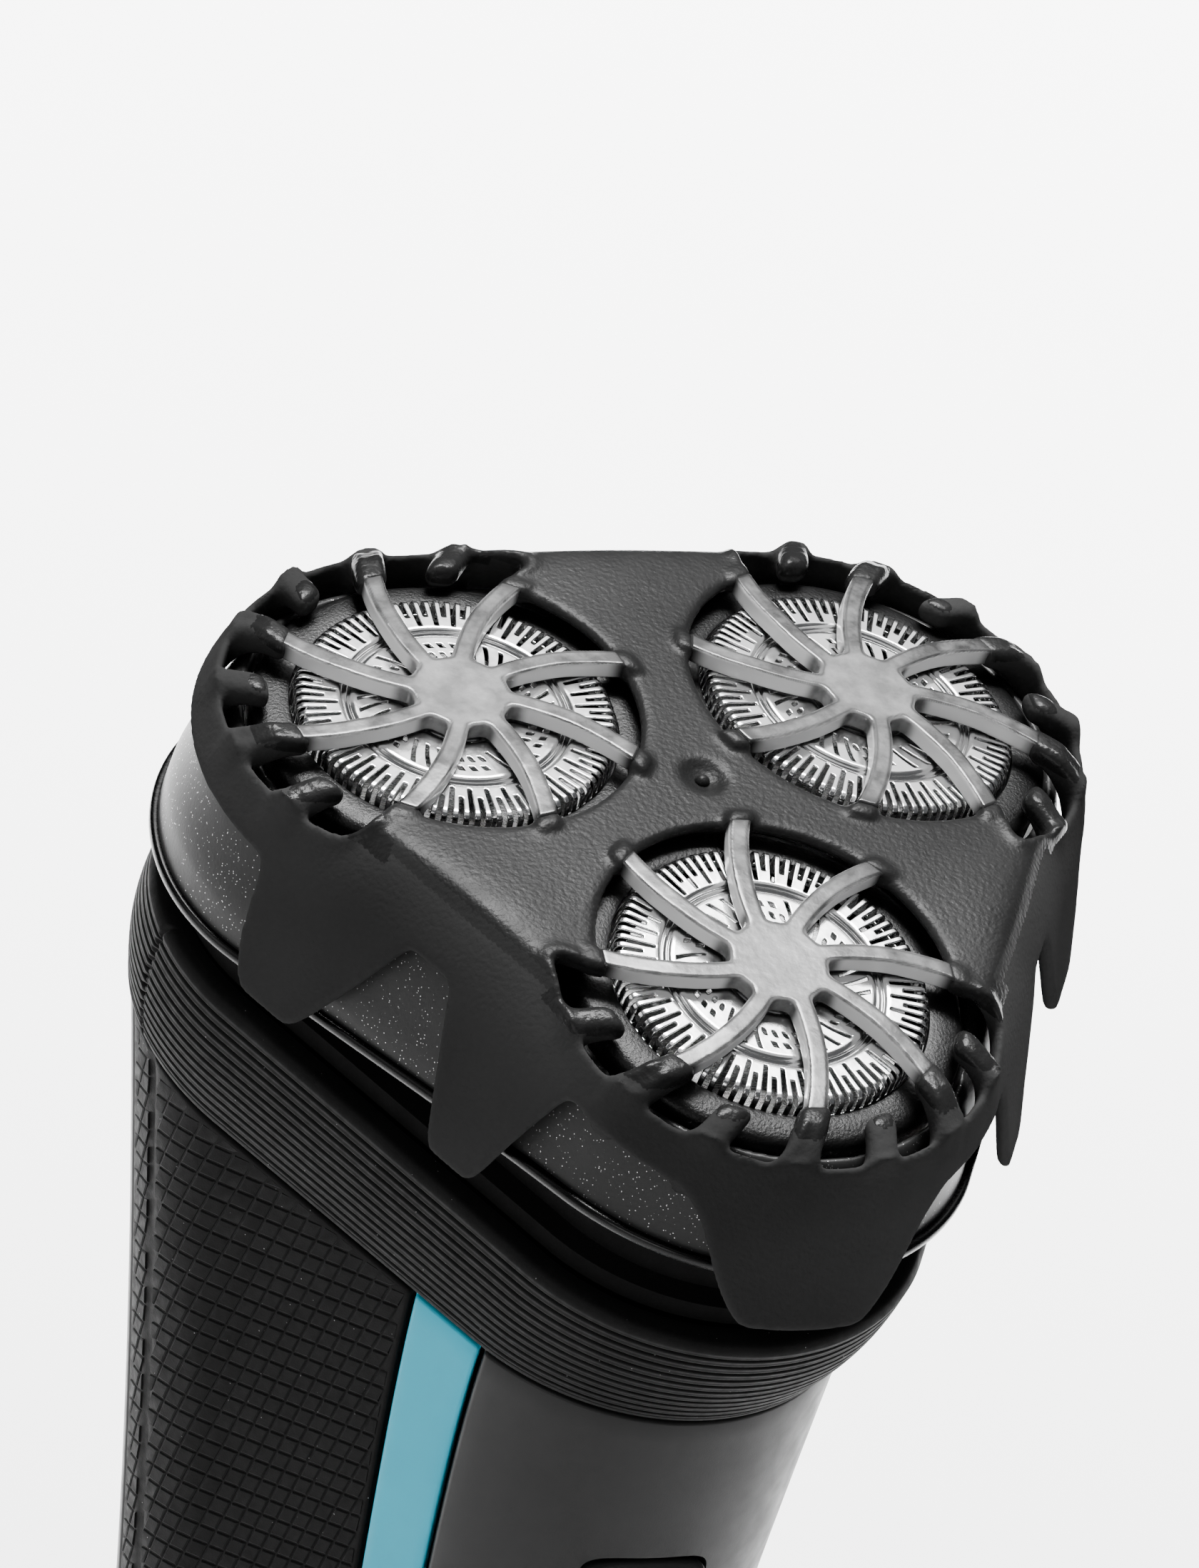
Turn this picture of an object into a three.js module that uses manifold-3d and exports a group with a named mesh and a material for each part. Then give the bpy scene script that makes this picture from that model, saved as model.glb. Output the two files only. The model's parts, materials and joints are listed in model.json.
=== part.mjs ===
// Cordless rotary shaver: three floating foils with spinning cutters in a flip-open head,
// a slip-on stubble comb, a geared drive, a rechargeable handle and a pop-up trimmer.
//
// Millimetres. +Z runs up the handle, -Y is its front and +X its right-hand side.
// The origin is the middle of the flat base. The head leans forward, so its pieces sit in
// a tilted group whose own origin is the middle of the three foils' rim plane.

import * as THREE from "three";
import { mergeVertices } from "three/addons/utils/BufferGeometryUtils.js";
import Module from "manifold-3d";

const wasm = await Module();
wasm.setup();
const rad = THREE.MathUtils.degToRad;
const { cos, sin, PI } = Math;

// ---------------------------------------------------------------- driving dimensions

const GAP = 0.3;               // air between neighbouring pieces
const WALL = 1.5;              // moulded wall thickness

// The handle: a rounded triangle that tapers from the collar to a waist.
const BODY_LOBE = 14.0;        // centre of each corner circle, from the axis, at the collar
const BODY_CORNER = 16.6;      // radius of each corner circle at the collar
const COLLAR_FOOT = 122;       // height where the axis meets the collar's lower edge
const WAIST_AT = 52;           // height of the waist
const WAIST_SCALE = 0.70;      // section at the waist, as a share of the section at the collar
const TAPER_POWER = 1.4;
const HEEL_SCALE = 0.045;      // how much the section grows again below the waist
const HEEL_HEIGHT = 13;        // height of the separate base cap
const SKIN = 1.5;              // thickness of the outer panels
const LINER = 1.5;             // thickness of the inner housing

// Where the panels meet around the handle, in degrees either side of the front.
const FRONT_EDGE = 33;
const STRIP_EDGE = 46.5;
const GRIP_EDGE = 110;

// The head.
const HEAD_TILT = rad(15);
const HEAD_RISE = 31;          // from the collar's lower edge up to the foils' rim plane
const HEAD_SHIFT = 1.4;        // the handle's axis passes this far behind the head's centre
const LOBE = 17.28;            // from the head's centre to each foil's axis
const FOIL_TILT = rad(5.7);    // each foil leans outward
const FOIL_RADIUS = 11;
const FLOAT_TRAVEL = 1.2;
const HEADS = { front: -90, right: 30, left: 150 };

// The casing that carries the foils.
const CASE_CORNER = 17;
const CASE_EDGE_BACK = -15.6;
const CASE_EDGE_FRONT = -11.7;
const FOIL_HOLE = 14.3;
const BEZEL_RADIUS = 14.0;

// The slip-on comb.
const COMB_LOBE = 16.5;
const COMB_WALL = 1.0;
const COMB_OPENING = 12.5;
const COMB_WINDOW = 16.2;
const ARM_COUNT = 8;
const ARM_FIRST = rad(-94);
const ARM_WIDTH = 1.9;
const ARM_DEPTH = 1.2;
const ARM_SWIRL = rad(1.6);    // an arm turns by this much for each millimetre of radius

// The drive.
const PINION_TEETH = 16;
const GEAR_TEETH = 20;
const MODULE = (2 * LOBE) / (PINION_TEETH + GEAR_TEETH);
const GEAR_TOP = -20.8;
const GEAR_FOOT = -23.2;
const SPINDLE_RADIUS = 1.6;
const SPINDLE_TIP = 1.2;
const SOCKET_RADIUS = 2.2;
const MOTOR_RADIUS = 8.5;
const MOTOR_TOP = -28.2;
const MOTOR_FOOT = -55;

// The head's hinge, at the back.
const HINGE_Y = 24;
const HINGE_Z = -17.5;
const HINGE_PIN = 1.0;
const HINGE_EYE = 2.3;

// Buttons and trimmer on the handle.
const POWER_AT = 74;
const POWER_RADIUS = 4.6;
const POWER_RING = 0.9;
const RELEASE_AT = 99;
const RELEASE_SIZE = [9, 5];
const TRIMMER_FOOT = 62;
const TRIMMER_TOP = 90;
const TRIMMER_WIDTH = 20;
const TRIMMER_DEPTH = 6;
const TRIMMER_TRAY = 1.2;       // wall of the tray that the trimmer folds into
const BLADE_SPAN = 18;
const SLIDER_FOOT = 44.3;
const SLIDER_TOP = 56.3;
const SLIDER_TRAVEL = 6;
const STATUS_AT = 62;
const SOCKET_WIDTH = 8;
const SOCKET_HEIGHT = 6;
const SOCKET_DEPTH = 9;
const SOCKET_BACK = 6.2;         // the socket sits this far behind the middle of the base

// ---------------------------------------------------------------- finishes

const paint = (color, roughness, metalness = 0) => ({ color, roughness, metalness });
const SMOKED = paint(0x2e2f31, 0.35);
const CASE_GREY = paint(0x3c3e40, 0.4, 0.3);
const BLACK = paint(0x141516, 0.55);
const SATIN = paint(0x303133, 0.4);
const RUBBER = paint(0x26272a, 0.8);
const CYAN = paint(0x64c8dc, 0.35);
const STEEL = paint(0xc8cacd, 0.22, 1);
const CHROME = paint(0xd8dadc, 0.1, 1);
const WHITE_PLASTIC = paint(0xe4e4e0, 0.5);
const BOARD = paint(0x1f6b3a, 0.6);
const CELL = paint(0x3a6ea5, 0.4);
const BRASS = paint(0xb9923c, 0.3, 1);
const LENS = paint(0xbfe9f2, 0.15);

// ---------------------------------------------------------------- solids from points

const vec = (x, y, z) => new THREE.Vector3(x, y, z);

// Makes a mesh from points and triangles, turned so that its faces point outward.
function closed(points, faces) {
  let volume = 0;
  for (const [a, b, c] of faces) {
    volume += points[a].dot(vec(0, 0, 0).crossVectors(points[b], points[c]));
  }
  const turned = volume < 0 ? faces.map(([a, b, c]) => [a, c, b]) : faces;
  const geometry = new THREE.BufferGeometry().setFromPoints(points);
  geometry.setIndex(turned.flat());
  return geometry;
}

// Joins a row of loops that all have the same number of points. The ends are closed by
// "fan" (a middle point), "ladder" (the loop folded flat) or "ring" (last loop to first).
function band(loops, ends = "fan") {
  const count = loops[0].length;
  const points = loops.flat();
  const faces = [];
  const last = loops.length - 1;
  const rows = ends === "ring" ? last + 1 : last;
  for (let i = 0; i < rows; i += 1) {
    const low = i * count;
    const high = ((i + 1) % loops.length) * count;
    for (let j = 0; j < count; j += 1) {
      const k = (j + 1) % count;
      faces.push([low + j, low + k, high + k], [low + j, high + k, high + j]);
    }
  }
  if (ends === "ladder") {
    for (let j = 0; j < count / 2 - 1; j += 1) {
      const [a, b, c, d] = [j, j + 1, count - 2 - j, count - 1 - j];
      faces.push([a, c, b], [a, d, c]);
      const top = last * count;
      faces.push([top + a, top + b, top + c], [top + a, top + c, top + d]);
    }
  }
  if (ends === "fan") {
    for (const [row, flip] of [[0, true], [last, false]]) {
      const middle = vec(0, 0, 0);
      loops[row].forEach((p) => middle.addScaledVector(p, 1 / count));
      const tip = points.push(middle) - 1;
      for (let j = 0; j < count; j += 1) {
        const pair = [row * count + j, row * count + ((j + 1) % count)];
        faces.push(flip ? [tip, pair[1], pair[0]] : [tip, pair[0], pair[1]]);
      }
    }
  }
  return closed(points, faces);
}

// Turns a mesh into a manifold solid, ready to be joined or cut.
function solid(shape) {
  if (!shape.isBufferGeometry) return shape;
  const bare = new THREE.BufferGeometry();
  bare.setAttribute("position", shape.attributes.position);
  bare.setIndex(shape.index);
  const merged = mergeVertices(bare, 1e-4);
  const index = merged.index.array;
  const kept = [];
  for (let i = 0; i < index.length; i += 3) {
    const [a, b, c] = index.slice(i, i + 3);
    if (a !== b && b !== c && c !== a) kept.push(a, b, c);
  }
  const vertProperties = new Float32Array(merged.attributes.position.array);
  const triVerts = new Uint32Array(kept);
  return new wasm.Manifold(new wasm.Mesh({ numProp: 3, vertProperties, triVerts }));
}

// Turns a manifold solid back into a mesh.
function meshed(shape) {
  if (shape.isBufferGeometry) return shape;
  const { vertProperties, triVerts, numProp } = shape.getMesh();
  const geometry = new THREE.BufferGeometry();
  const positions = new Float32Array(vertProperties.length / numProp * 3);
  for (let i = 0; i < positions.length / 3; i += 1) {
    positions.set(vertProperties.slice(i * numProp, i * numProp + 3), i * 3);
  }
  geometry.setAttribute("position", new THREE.BufferAttribute(positions, 3));
  geometry.setIndex(Array.from(triVerts));
  return geometry;
}

const joined = (...shapes) => shapes.map(solid).reduce((sum, next) => sum.add(next));
const cut = (base, ...tools) => tools.map(solid).reduce((rest, tool) => rest.subtract(tool), solid(base));

function rod(radius, low, high, segments = 20, topRadius = radius) {
  const shape = new THREE.CylinderGeometry(topRadius, radius, high - low, segments);
  return shape.rotateX(PI / 2).translate(0, 0, (low + high) / 2);
}

function block(x, y, z) {
  const shape = new THREE.BoxGeometry(x[1] - x[0], y[1] - y[0], z[1] - z[0]);
  return shape.translate((x[0] + x[1]) / 2, (y[0] + y[1]) / 2, (z[0] + z[1]) / 2);
}

// Spins a closed profile of [radius, height] points about the vertical axis.
function turned(profile, segments = 24) {
  const loop = [...profile];
  if (profile[0][0] > 0) loop.push(profile[0]);
  const points = loop.reverse().map(([r, z]) => new THREE.Vector2(r, z));
  return new THREE.LatheGeometry(points, segments).rotateX(PI / 2);
}

// A bar of rectangular section under a line of points, level from side to side.
function bar(path, width, depth) {
  const loops = path.map((p, i) => {
    const from = path[Math.max(i - 1, 0)];
    const to = path[Math.min(i + 1, path.length - 1)];
    const side = vec(from.y - to.y, to.x - from.x, 0).normalize().multiplyScalar(width / 2);
    const corners = [[1, 0], [-1, 0], [-0.8, -depth], [0.8, -depth]];
    return corners.map(([s, drop]) => vec(p.x + s * side.x, p.y + s * side.y, p.z + drop));
  });
  return band(loops);
}

// ---------------------------------------------------------------- the rounded triangle

// Distance from the middle to the outline of three circles wrapped by a belt. The circles
// have radius corner and lie at distance lobe, to the front and at the back corners.
function outline(angle, lobe, corner) {
  const off = Math.abs(THREE.MathUtils.euclideanModulo(angle + PI / 2 + PI / 3, 2 * PI / 3) - PI / 3);
  const tangent = Math.atan2(corner * sin(PI / 3), lobe + corner / 2);
  if (off > tangent) return (lobe / 2 + corner) / cos(PI / 3 - off);
  return lobe * cos(off) + Math.sqrt(corner ** 2 - (lobe * sin(off)) ** 2);
}

function around(count) {
  return Array.from({ length: count }, (_, i) => -PI / 2 + (i * 2 * PI) / count);
}

// A loop of the rounded triangle. Height is a number or a function of the point's angle.
function ring(angles, lobe, corner, height, shift = 0) {
  return angles.map((angle) => {
    const radius = outline(angle, lobe, corner);
    const z = typeof height === "function" ? height(angle) : height;
    return vec(radius * cos(angle), radius * sin(angle) + shift, z);
  });
}

// How near an angle is to one of the three corners: 1 at a corner, 0 half way between.
const cornerness = (angle) => 0.5 + 0.5 * cos(3 * (angle + PI / 2));

// ---------------------------------------------------------------- the handle's surface

const headUp = vec(0, -sin(HEAD_TILT), cos(HEAD_TILT));
const headBack = vec(0, cos(HEAD_TILT), sin(HEAD_TILT));
const headAt = vec(0, 0, COLLAR_FOOT)
  .addScaledVector(headUp, HEAD_RISE)
  .addScaledVector(headBack, -HEAD_SHIFT);

function bodyScale(z) {
  const up = (z - WAIST_AT) / (COLLAR_FOOT - WAIST_AT);
  if (up >= 0) return WAIST_SCALE + (1 - WAIST_SCALE) * up ** TAPER_POWER;
  return WAIST_SCALE + HEEL_SCALE * sin(Math.min(1, -z / WAIST_AT + 1) * PI / 2) ** 2;
}

function bodyPoint(angle, z, inset) {
  const scale = bodyScale(z);
  const radius = outline(angle, BODY_LOBE * scale, BODY_CORNER * scale - inset);
  return vec(radius * cos(angle), radius * sin(angle), z);
}

// Height on the handle's surface of a plane parallel to the head, below the collar.
function underCollar(angle, inset, drop) {
  let z = COLLAR_FOOT;
  for (let i = 0; i < 4; i += 1) {
    z = COLLAR_FOOT - drop + bodyPoint(angle, z, inset).y * Math.tan(HEAD_TILT);
  }
  return z;
}

// Part of the handle's wall over a run of angles, from low up to the collar.
function wall(angles, levels, low, inset, thickness, ends) {
  const column = (angle, depth) => {
    const high = underCollar(angle, depth, GAP);
    return levels.map((share) => bodyPoint(angle, low + share * (high - low), depth));
  };
  const loops = angles.map((angle) => {
    return [...column(angle, inset), ...column(angle, inset + thickness).reverse()];
  });
  return band(loops, ends);
}

function span(from, to, steps) {
  return Array.from({ length: steps + 1 }, (_, i) => from + ((to - from) * i) / steps);
}

// Angle that leaves half a gap at a joint between two panels.
const seam = (degrees, towards) => rad(degrees - 90) + towards * (GAP / 2) / 22;

// ---------------------------------------------------------------- the scene graph

const group = new THREE.Group();
const head = new THREE.Group();
head.position.copy(headAt);
head.rotation.x = HEAD_TILT;
group.add(head);

const foilGroups = {};
for (const [name, degrees] of Object.entries(HEADS)) {
  const foil = new THREE.Group();
  foil.position.set(LOBE * cos(rad(degrees)), LOBE * sin(rad(degrees)), 0);
  foil.rotation.set(0, FOIL_TILT, rad(degrees), "ZYX");
  foil.updateMatrix();
  head.add(foil);
  foilGroups[name] = foil;
}

function piece(parent, name, shape, look) {
  const mesh = new THREE.Mesh(meshed(shape), new THREE.MeshStandardMaterial(look));
  mesh.name = name;
  parent.add(mesh);
  return mesh;
}

// A solid made in a foil's frame, moved into the head's frame.
const onFoil = (shape, foil) => shape.clone().applyMatrix4(foil.matrix);

// ---------------------------------------------------------------- the comb

// Lower edge of the comb, from the front round to the side: degrees from the front and
// height. It makes one front tab and two tabs on each side; the back is plain.
const COMB_EDGE = [
  [0, -14.3], [7.2, -14.3], [10.2, -11.8], [13.8, -7.4], [17, -5.5], [33.3, -4.3],
  [38, -9.7], [41.2, -14.1], [49.2, -14.1], [54, -7.5], [57.1, -3.6], [65.8, -3.6],
  [69.5, -8], [75, -14.1], [83.7, -14.1], [87.1, -11], [90, -5.5],
];
const COMB_BACK_STEPS = 7;

function combAngles() {
  const side = COMB_EDGE.map(([degrees]) => rad(degrees - 90));
  const rest = span(0, PI / 2, COMB_BACK_STEPS).slice(1);
  const half = [...side, ...rest];
  const mirrored = half.slice(1, -1).reverse().map((angle) => PI - angle);
  return [...half, ...mirrored];
}

function combEdge(angle) {
  const turn = Math.abs(THREE.MathUtils.radToDeg(Math.atan2(cos(angle), -sin(angle))));
  const next = COMB_EDGE.findIndex(([degrees]) => degrees >= turn - 1e-6);
  if (next < 0) return COMB_EDGE.at(-1)[1];
  if (next === 0) return COMB_EDGE[0][1];
  const [a, low] = COMB_EDGE[next - 1];
  const [b, high] = COMB_EDGE[next];
  return low + ((turn - a) / (b - a)) * (high - low);
}

// The skirt flares from the shoulder to its lower edge: corner radius and height.
const SKIRT_TOP = [17.7, -3.4];
const SKIRT_FOOT = [20.6, -14.3];

function skirtCorner(z) {
  const share = (z - SKIRT_TOP[1]) / (SKIRT_FOOT[1] - SKIRT_TOP[1]);
  return SKIRT_TOP[0] + share * (SKIRT_FOOT[0] - SKIRT_TOP[0]);
}

// From the skirt over the shoulder to the middle: corner radius, height, and how far the
// surface falls at the three corners, where it follows the leaning foils.
const COMB_PROFILE = [
  [...SKIRT_TOP, 0], [16.9, -1.7, 0.4], [15.6, 0.2, 0.9], [13.6, 1.4, 1.3],
];

function combShell() {
  const angles = combAngles();
  const foot = (inset) => angles.map((angle) => {
    const corner = skirtCorner(combEdge(angle)) - inset;
    return ring([angle], COMB_LOBE, corner, combEdge)[0];
  });
  const rings = (inset, profile) => [
    foot(inset),
    ...profile.map(([corner, height, fall]) => {
      const level = (angle) => height - inset - fall * cornerness(angle);
      return ring(angles, COMB_LOBE, corner - inset, level);
    }),
    ring(angles, COMB_LOBE / 2, COMB_LOBE / 3, 2.0 - inset),
  ];
  const lining = COMB_PROFILE.filter((_, i) => i !== 1);
  return band([...rings(COMB_WALL, lining).reverse(), ...rings(0, COMB_PROFILE)]);
}

// One curved arm from the hub to a radius, following heights given at a few radii.
function armPath(angle, stops) {
  return stops.map(([radius, height]) => {
    const turn = angle + (COMB_OPENING - radius) * ARM_SWIRL;
    return vec(radius * cos(turn), radius * sin(turn), height);
  });
}

const ARM_INBOARD = [[2.4, 1.68], [7, 1.7], [11, 1.4], [13.9, 1.3]];
const ARM_OUTBOARD = [[2.4, 1.68], [7, 1.7], [12.3, 1.3], [14.6, 0.4], [16.6, -1.5]];
const FINGER = [[12.8, 0.8], [14.6, 0.6], [16.6, -1.6]];

function spider() {
  const parts = [rod(3.6, 0.5, 1.68, 12)];
  for (let i = 0; i < ARM_COUNT; i += 1) {
    const angle = ARM_FIRST + (i * 2 * PI) / ARM_COUNT;
    const outboard = i > 0 && i < ARM_COUNT / 2;
    parts.push(bar(armPath(angle, outboard ? ARM_OUTBOARD : ARM_INBOARD), ARM_WIDTH, ARM_DEPTH));
    if (i < ARM_COUNT / 2) {
      parts.push(bar(armPath(angle + PI / ARM_COUNT, FINGER), ARM_WIDTH, ARM_DEPTH));
    }
  }
  return meshed(joined(...parts));
}

// The windows beyond the foil's edge, one between each pair of outboard arms.
function windows() {
  const margin = 0.1;
  return Array.from({ length: ARM_COUNT / 2 }, (_, i) => {
    const start = ARM_FIRST + (i * 2 * PI) / ARM_COUNT + margin;
    const stop = start + (2 * PI) / ARM_COUNT - 2 * margin;
    const inner = span(start, stop, 2).map((a) => [COMB_OPENING - 1, a]);
    const outer = span(start, stop, 2).map((a) => [COMB_WINDOW, a - 4.5 * ARM_SWIRL]);
    const loop = [...inner, ...outer.reverse()];
    return band([-7, 5].map((z) => loop.map(([r, a]) => vec(r * cos(a), r * sin(a), z))), "ladder");
  });
}

function stubbleComb() {
  const dimple = rod(1.6, 1.5, 3, 12);
  let shell = cut(combShell(), dimple);
  for (const foil of Object.values(foilGroups)) {
    const tools = [rod(COMB_OPENING, -8, 6, 20), ...windows()];
    shell = cut(shell, ...tools.map((tool) => onFoil(tool, foil)));
    shell = joined(shell, onFoil(spider(), foil));
  }
  return joined(shell, rod(0.5, 1.3, 1.75, 8));
}

piece(head, "stubble_comb", stubbleComb(), SMOKED);

// ---------------------------------------------------------------- the head casing

// The casing's lower edge rises from the back towards the front.
function caseEdge(angle) {
  const y = outline(angle, LOBE, CASE_CORNER) * sin(angle);
  const share = THREE.MathUtils.smoothstep(y, -32, 9);
  return CASE_EDGE_FRONT + share * (CASE_EDGE_BACK - CASE_EDGE_FRONT);
}

const CASE_SHOULDER = [[16.6, -9.5, 0], [15.4, -4.6, 0.2], [14.5, -3.0, 0.4], [12.4, -2.1, 0.9]];

function caseRings(angles, inset) {
  return [
    ring(angles, LOBE, CASE_CORNER - inset, caseEdge),
    ...CASE_SHOULDER.map(([corner, height, fall]) => {
      const level = (angle) => height - inset - fall * cornerness(angle);
      return ring(angles, LOBE, corner - inset, level);
    }),
    ring(angles, LOBE / 2, LOBE / 3, -0.6 - inset),
  ];
}

function headCasing() {
  const angles = around(30);
  const shell = band([...caseRings(angles, WALL).reverse(), ...caseRings(angles, 0)]);
  const holes = Object.values(foilGroups).map((foil) => onFoil(rod(FOIL_HOLE, -6.6, 4, 20), foil));
  const eyes = [-1, 1].map((side) => {
    const x = side > 0 ? [5.3, 9] : [-9, -5.3];
    const eye = rod(HINGE_EYE, x[0], x[1], 12).rotateY(PI / 2).translate(0, HINGE_Y, HINGE_Z);
    const tongue = block(x, [HINGE_Y - 0.9, HINGE_Y + 1.4], [HINGE_Z + 1, HINGE_Z + 5]);
    return joined(eye, tongue);
  });
  const bore = rod(HINGE_PIN + GAP, -10, 10, 10).rotateY(PI / 2).translate(0, HINGE_Y, HINGE_Z);
  const knuckleRoom = block([-5.3, 5.3], [HINGE_Y - 1, HINGE_Y + 4], [HINGE_Z, HINGE_Z + 2.8]);
  const post = rod(2.2, -9.4, -1.6, 12);
  return cut(joined(cut(shell, ...holes, knuckleRoom), ...eyes, post), bore);
}

piece(head, "head_casing", headCasing(), CASE_GREY);

// A bright line round the foot of the casing, open at the back to clear the hinge.
function rimTrim() {
  const angles = span(rad(112), rad(428), 30);
  const loops = angles.map((angle) => {
    const low = caseEdge(angle);
    const corners = [[0.3, 0.1], [0.3, 0.9], [0.8, 0.9], [0.8, 0.1]];
    return corners.map(([out, up]) => ring([angle], LOBE, CASE_CORNER + out, low + up)[0]);
  });
  return band(loops);
}

piece(head, "head_rim_trim", rimTrim(), CHROME);

// ---------------------------------------------------------------- foils and cutters

const FOIL_PROFILE = [
  [0, 0], [7.2, 0], [7.5, -0.35], [8.0, 0], [10.6, 0], [FOIL_RADIUS, -0.4],
  [FOIL_RADIUS, -2.2], [12.35, -2.2], [12.35, -2.8], [10.5, -2.8], [10.5, -0.75], [0, -0.75],
];
const BEZEL_PROFILE = [
  [11.35, -0.9], [13.4, -1.1], [BEZEL_RADIUS, -1.6], [BEZEL_RADIUS, -4.3], [12.7, -4.3],
  [12.7, -1.9], [11.35, -1.9],
];
const CUTTER_BLADES = 9;

function cutter() {
  const parts = [rod(10, -4.6, -3.6, 24), rod(3.2, -7, -4, 16)];
  for (let i = 0; i < CUTTER_BLADES; i += 1) {
    const blade = block([4.4, 9.9], [-0.35, 0.35], [-4, -1.05]);
    parts.push(blade.rotateZ((i * 2 * PI) / CUTTER_BLADES));
  }
  return cut(joined(...parts), rod(SOCKET_RADIUS, -8, -4.2, 12));
}

for (const [name, foil] of Object.entries(foilGroups)) {
  piece(foil, `foil_${name}`, turned(FOIL_PROFILE, 20), STEEL);
  piece(foil, `foil_bezel_${name}`, turned(BEZEL_PROFILE, 20), BLACK);
  piece(foil, `cutter_${name}`, cutter(), STEEL);
}

// The frame below the foils, held up by the dial on the casing's middle post.
function cutterFrame() {
  const parts = [rod(4.6, -9.2, -7.8 + GAP / 2, 18)];
  for (const degrees of Object.values(HEADS)) {
    const spot = [LOBE * cos(rad(degrees)), LOBE * sin(rad(degrees)), 0];
    const hoop = cut(rod(7.4, -9.2, -7.8, 16), rod(5.6, -10, -7, 16));
    parts.push(meshed(hoop).translate(...spot));
    parts.push(block([3, 12], [-1.5, 1.5], [-9.2, -7.8]).rotateZ(rad(degrees)));
  }
  return cut(joined(...parts), rod(2.2 + GAP, -10, -7, 14));
}

piece(head, "cutter_frame", cutterFrame(), WHITE_PLASTIC);

function lockDial() {
  const wings = block([-5.2, 5.2], [-1, 1], [-12, -10.2]);
  return joined(rod(4.2, -11.2, -9.7, 18), wings);
}

piece(head, "lock_dial", lockDial(), BLACK);

// ---------------------------------------------------------------- neck and collar

const NECK_WALL = 1.0;
const NECK_LEVELS = [[16.5, 14.2, -10, 0], [16.5, 14.2, -16.6, 0], [16.4, 15.4, -17.4, 0.1],
  [16.4, 15.4, -18.8, 0.1], [16.3, 13.9, -19.4, 0.2], [BODY_LOBE, 14.3, -30.8, HEAD_SHIFT]];

// Screws stand between the gears, three times round.
const SCREW_RING = 11.5;
const screwSpots = [90, 210, 330].map((degrees) => {
  return [SCREW_RING * cos(rad(degrees)), SCREW_RING * sin(rad(degrees)), 0];
});

function neckDeck() {
  const angles = around(30);
  const neckRing = (inset) => NECK_LEVELS.map(([lobe, corner, z, shift]) => {
    return ring(angles, lobe, corner - inset, z, shift);
  });
  const inner = [NECK_LEVELS[5], NECK_LEVELS[4], NECK_LEVELS[0]].map(([lobe, corner, z, shift]) => {
    return ring(angles, lobe, corner - NECK_WALL, z, shift);
  });
  const shell = band([...neckRing(0), ...inner], "ring");
  const floor = band([-19.6, -18.4].map((z) => ring(angles, 16.4, 13.4, z)));
  const bores = Object.values(HEADS).map((degrees) => {
    const bore = rod(SPINDLE_RADIUS + GAP, -21, -17, 14);
    return bore.translate(LOBE * cos(rad(degrees)), LOBE * sin(rad(degrees)), 0);
  });
  bores.push(...screwSpots.map((spot) => rod(0.8 + GAP, -21, -17, 10).translate(...spot)));
  const notch = block([-9.5, 9.5], [HINGE_Y - HINGE_EYE - 0.9, 30], [HINGE_Z - 2.8, 0]);
  const knuckle = rod(HINGE_EYE, -5, 5, 12).rotateY(PI / 2).translate(0, HINGE_Y, HINGE_Z);
  const root = block([-5, 5], [HINGE_Y - 5, HINGE_Y], [HINGE_Z - 2.2, HINGE_Z - 0.4]);
  const pin = rod(HINGE_PIN + GAP, -11, 11, 10).rotateY(PI / 2).translate(0, HINGE_Y, HINGE_Z);
  return cut(joined(cut(joined(shell, floor), notch), root, knuckle), ...bores, pin);
}

piece(head, "neck_deck", neckDeck(), BLACK);

const hingePin = rod(HINGE_PIN, -9.6, 9.6, 12).rotateY(PI / 2);
piece(head, "head_hinge_pin", hingePin.translate(0, HINGE_Y, HINGE_Z), STEEL);

const COLLAR_RIBS = 8;
const RIB_DEPTH = 0.45;
const COLLAR_TOP = -19.5;
const COLLAR_BULGE = 0.5;

// The handle's outline where the head's plane cuts it, seen in the head's frame.
function footRing(angles, inset) {
  const toHead = new THREE.Matrix4().makeRotationX(-HEAD_TILT);
  return angles.map((angle) => {
    const point = bodyPoint(angle, underCollar(angle, inset, 0), inset);
    return point.sub(headAt).applyMatrix4(toHead);
  });
}

// The ribbed rubber collar: ribs between a plain upper and a plain lower band.
function ribbedCollar() {
  const angles = around(30);
  const level = (share, inset) => {
    const depth = inset - COLLAR_BULGE * sin(share * PI);
    const foot = footRing(angles, depth - 0.2);
    const top = ring(angles, 16.5, 16.9 - depth, COLLAR_TOP - 0.6);
    return foot.map((point, i) => point.lerp(top[i], share));
  };
  const outer = [level(0, 0), level(0.1, 0)];
  for (let i = 0; i < COLLAR_RIBS; i += 1) {
    const share = 0.12 + (0.72 * (i + 0.5)) / COLLAR_RIBS;
    outer.push(level(share, RIB_DEPTH), level(share + 0.36 / COLLAR_RIBS, 0));
  }
  outer.push(level(0.94, 0));
  outer.push(ring(angles, 16.5, 16.2, COLLAR_TOP));
  const inner = [ring(angles, 16.4, 14.9, COLLAR_TOP - 0.2, 0.1), level(0.5, 2.1), level(0, 1.9)];
  const notch = block([-10, 10], [HINGE_Y - HINGE_EYE - 0.6, 30], [HINGE_Z - 2.9, 0]);
  return cut(band([...outer, ...inner], "ring"), notch);
}

piece(head, "ribbed_collar", ribbedCollar(), RUBBER);

// ---------------------------------------------------------------- the drive

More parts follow.
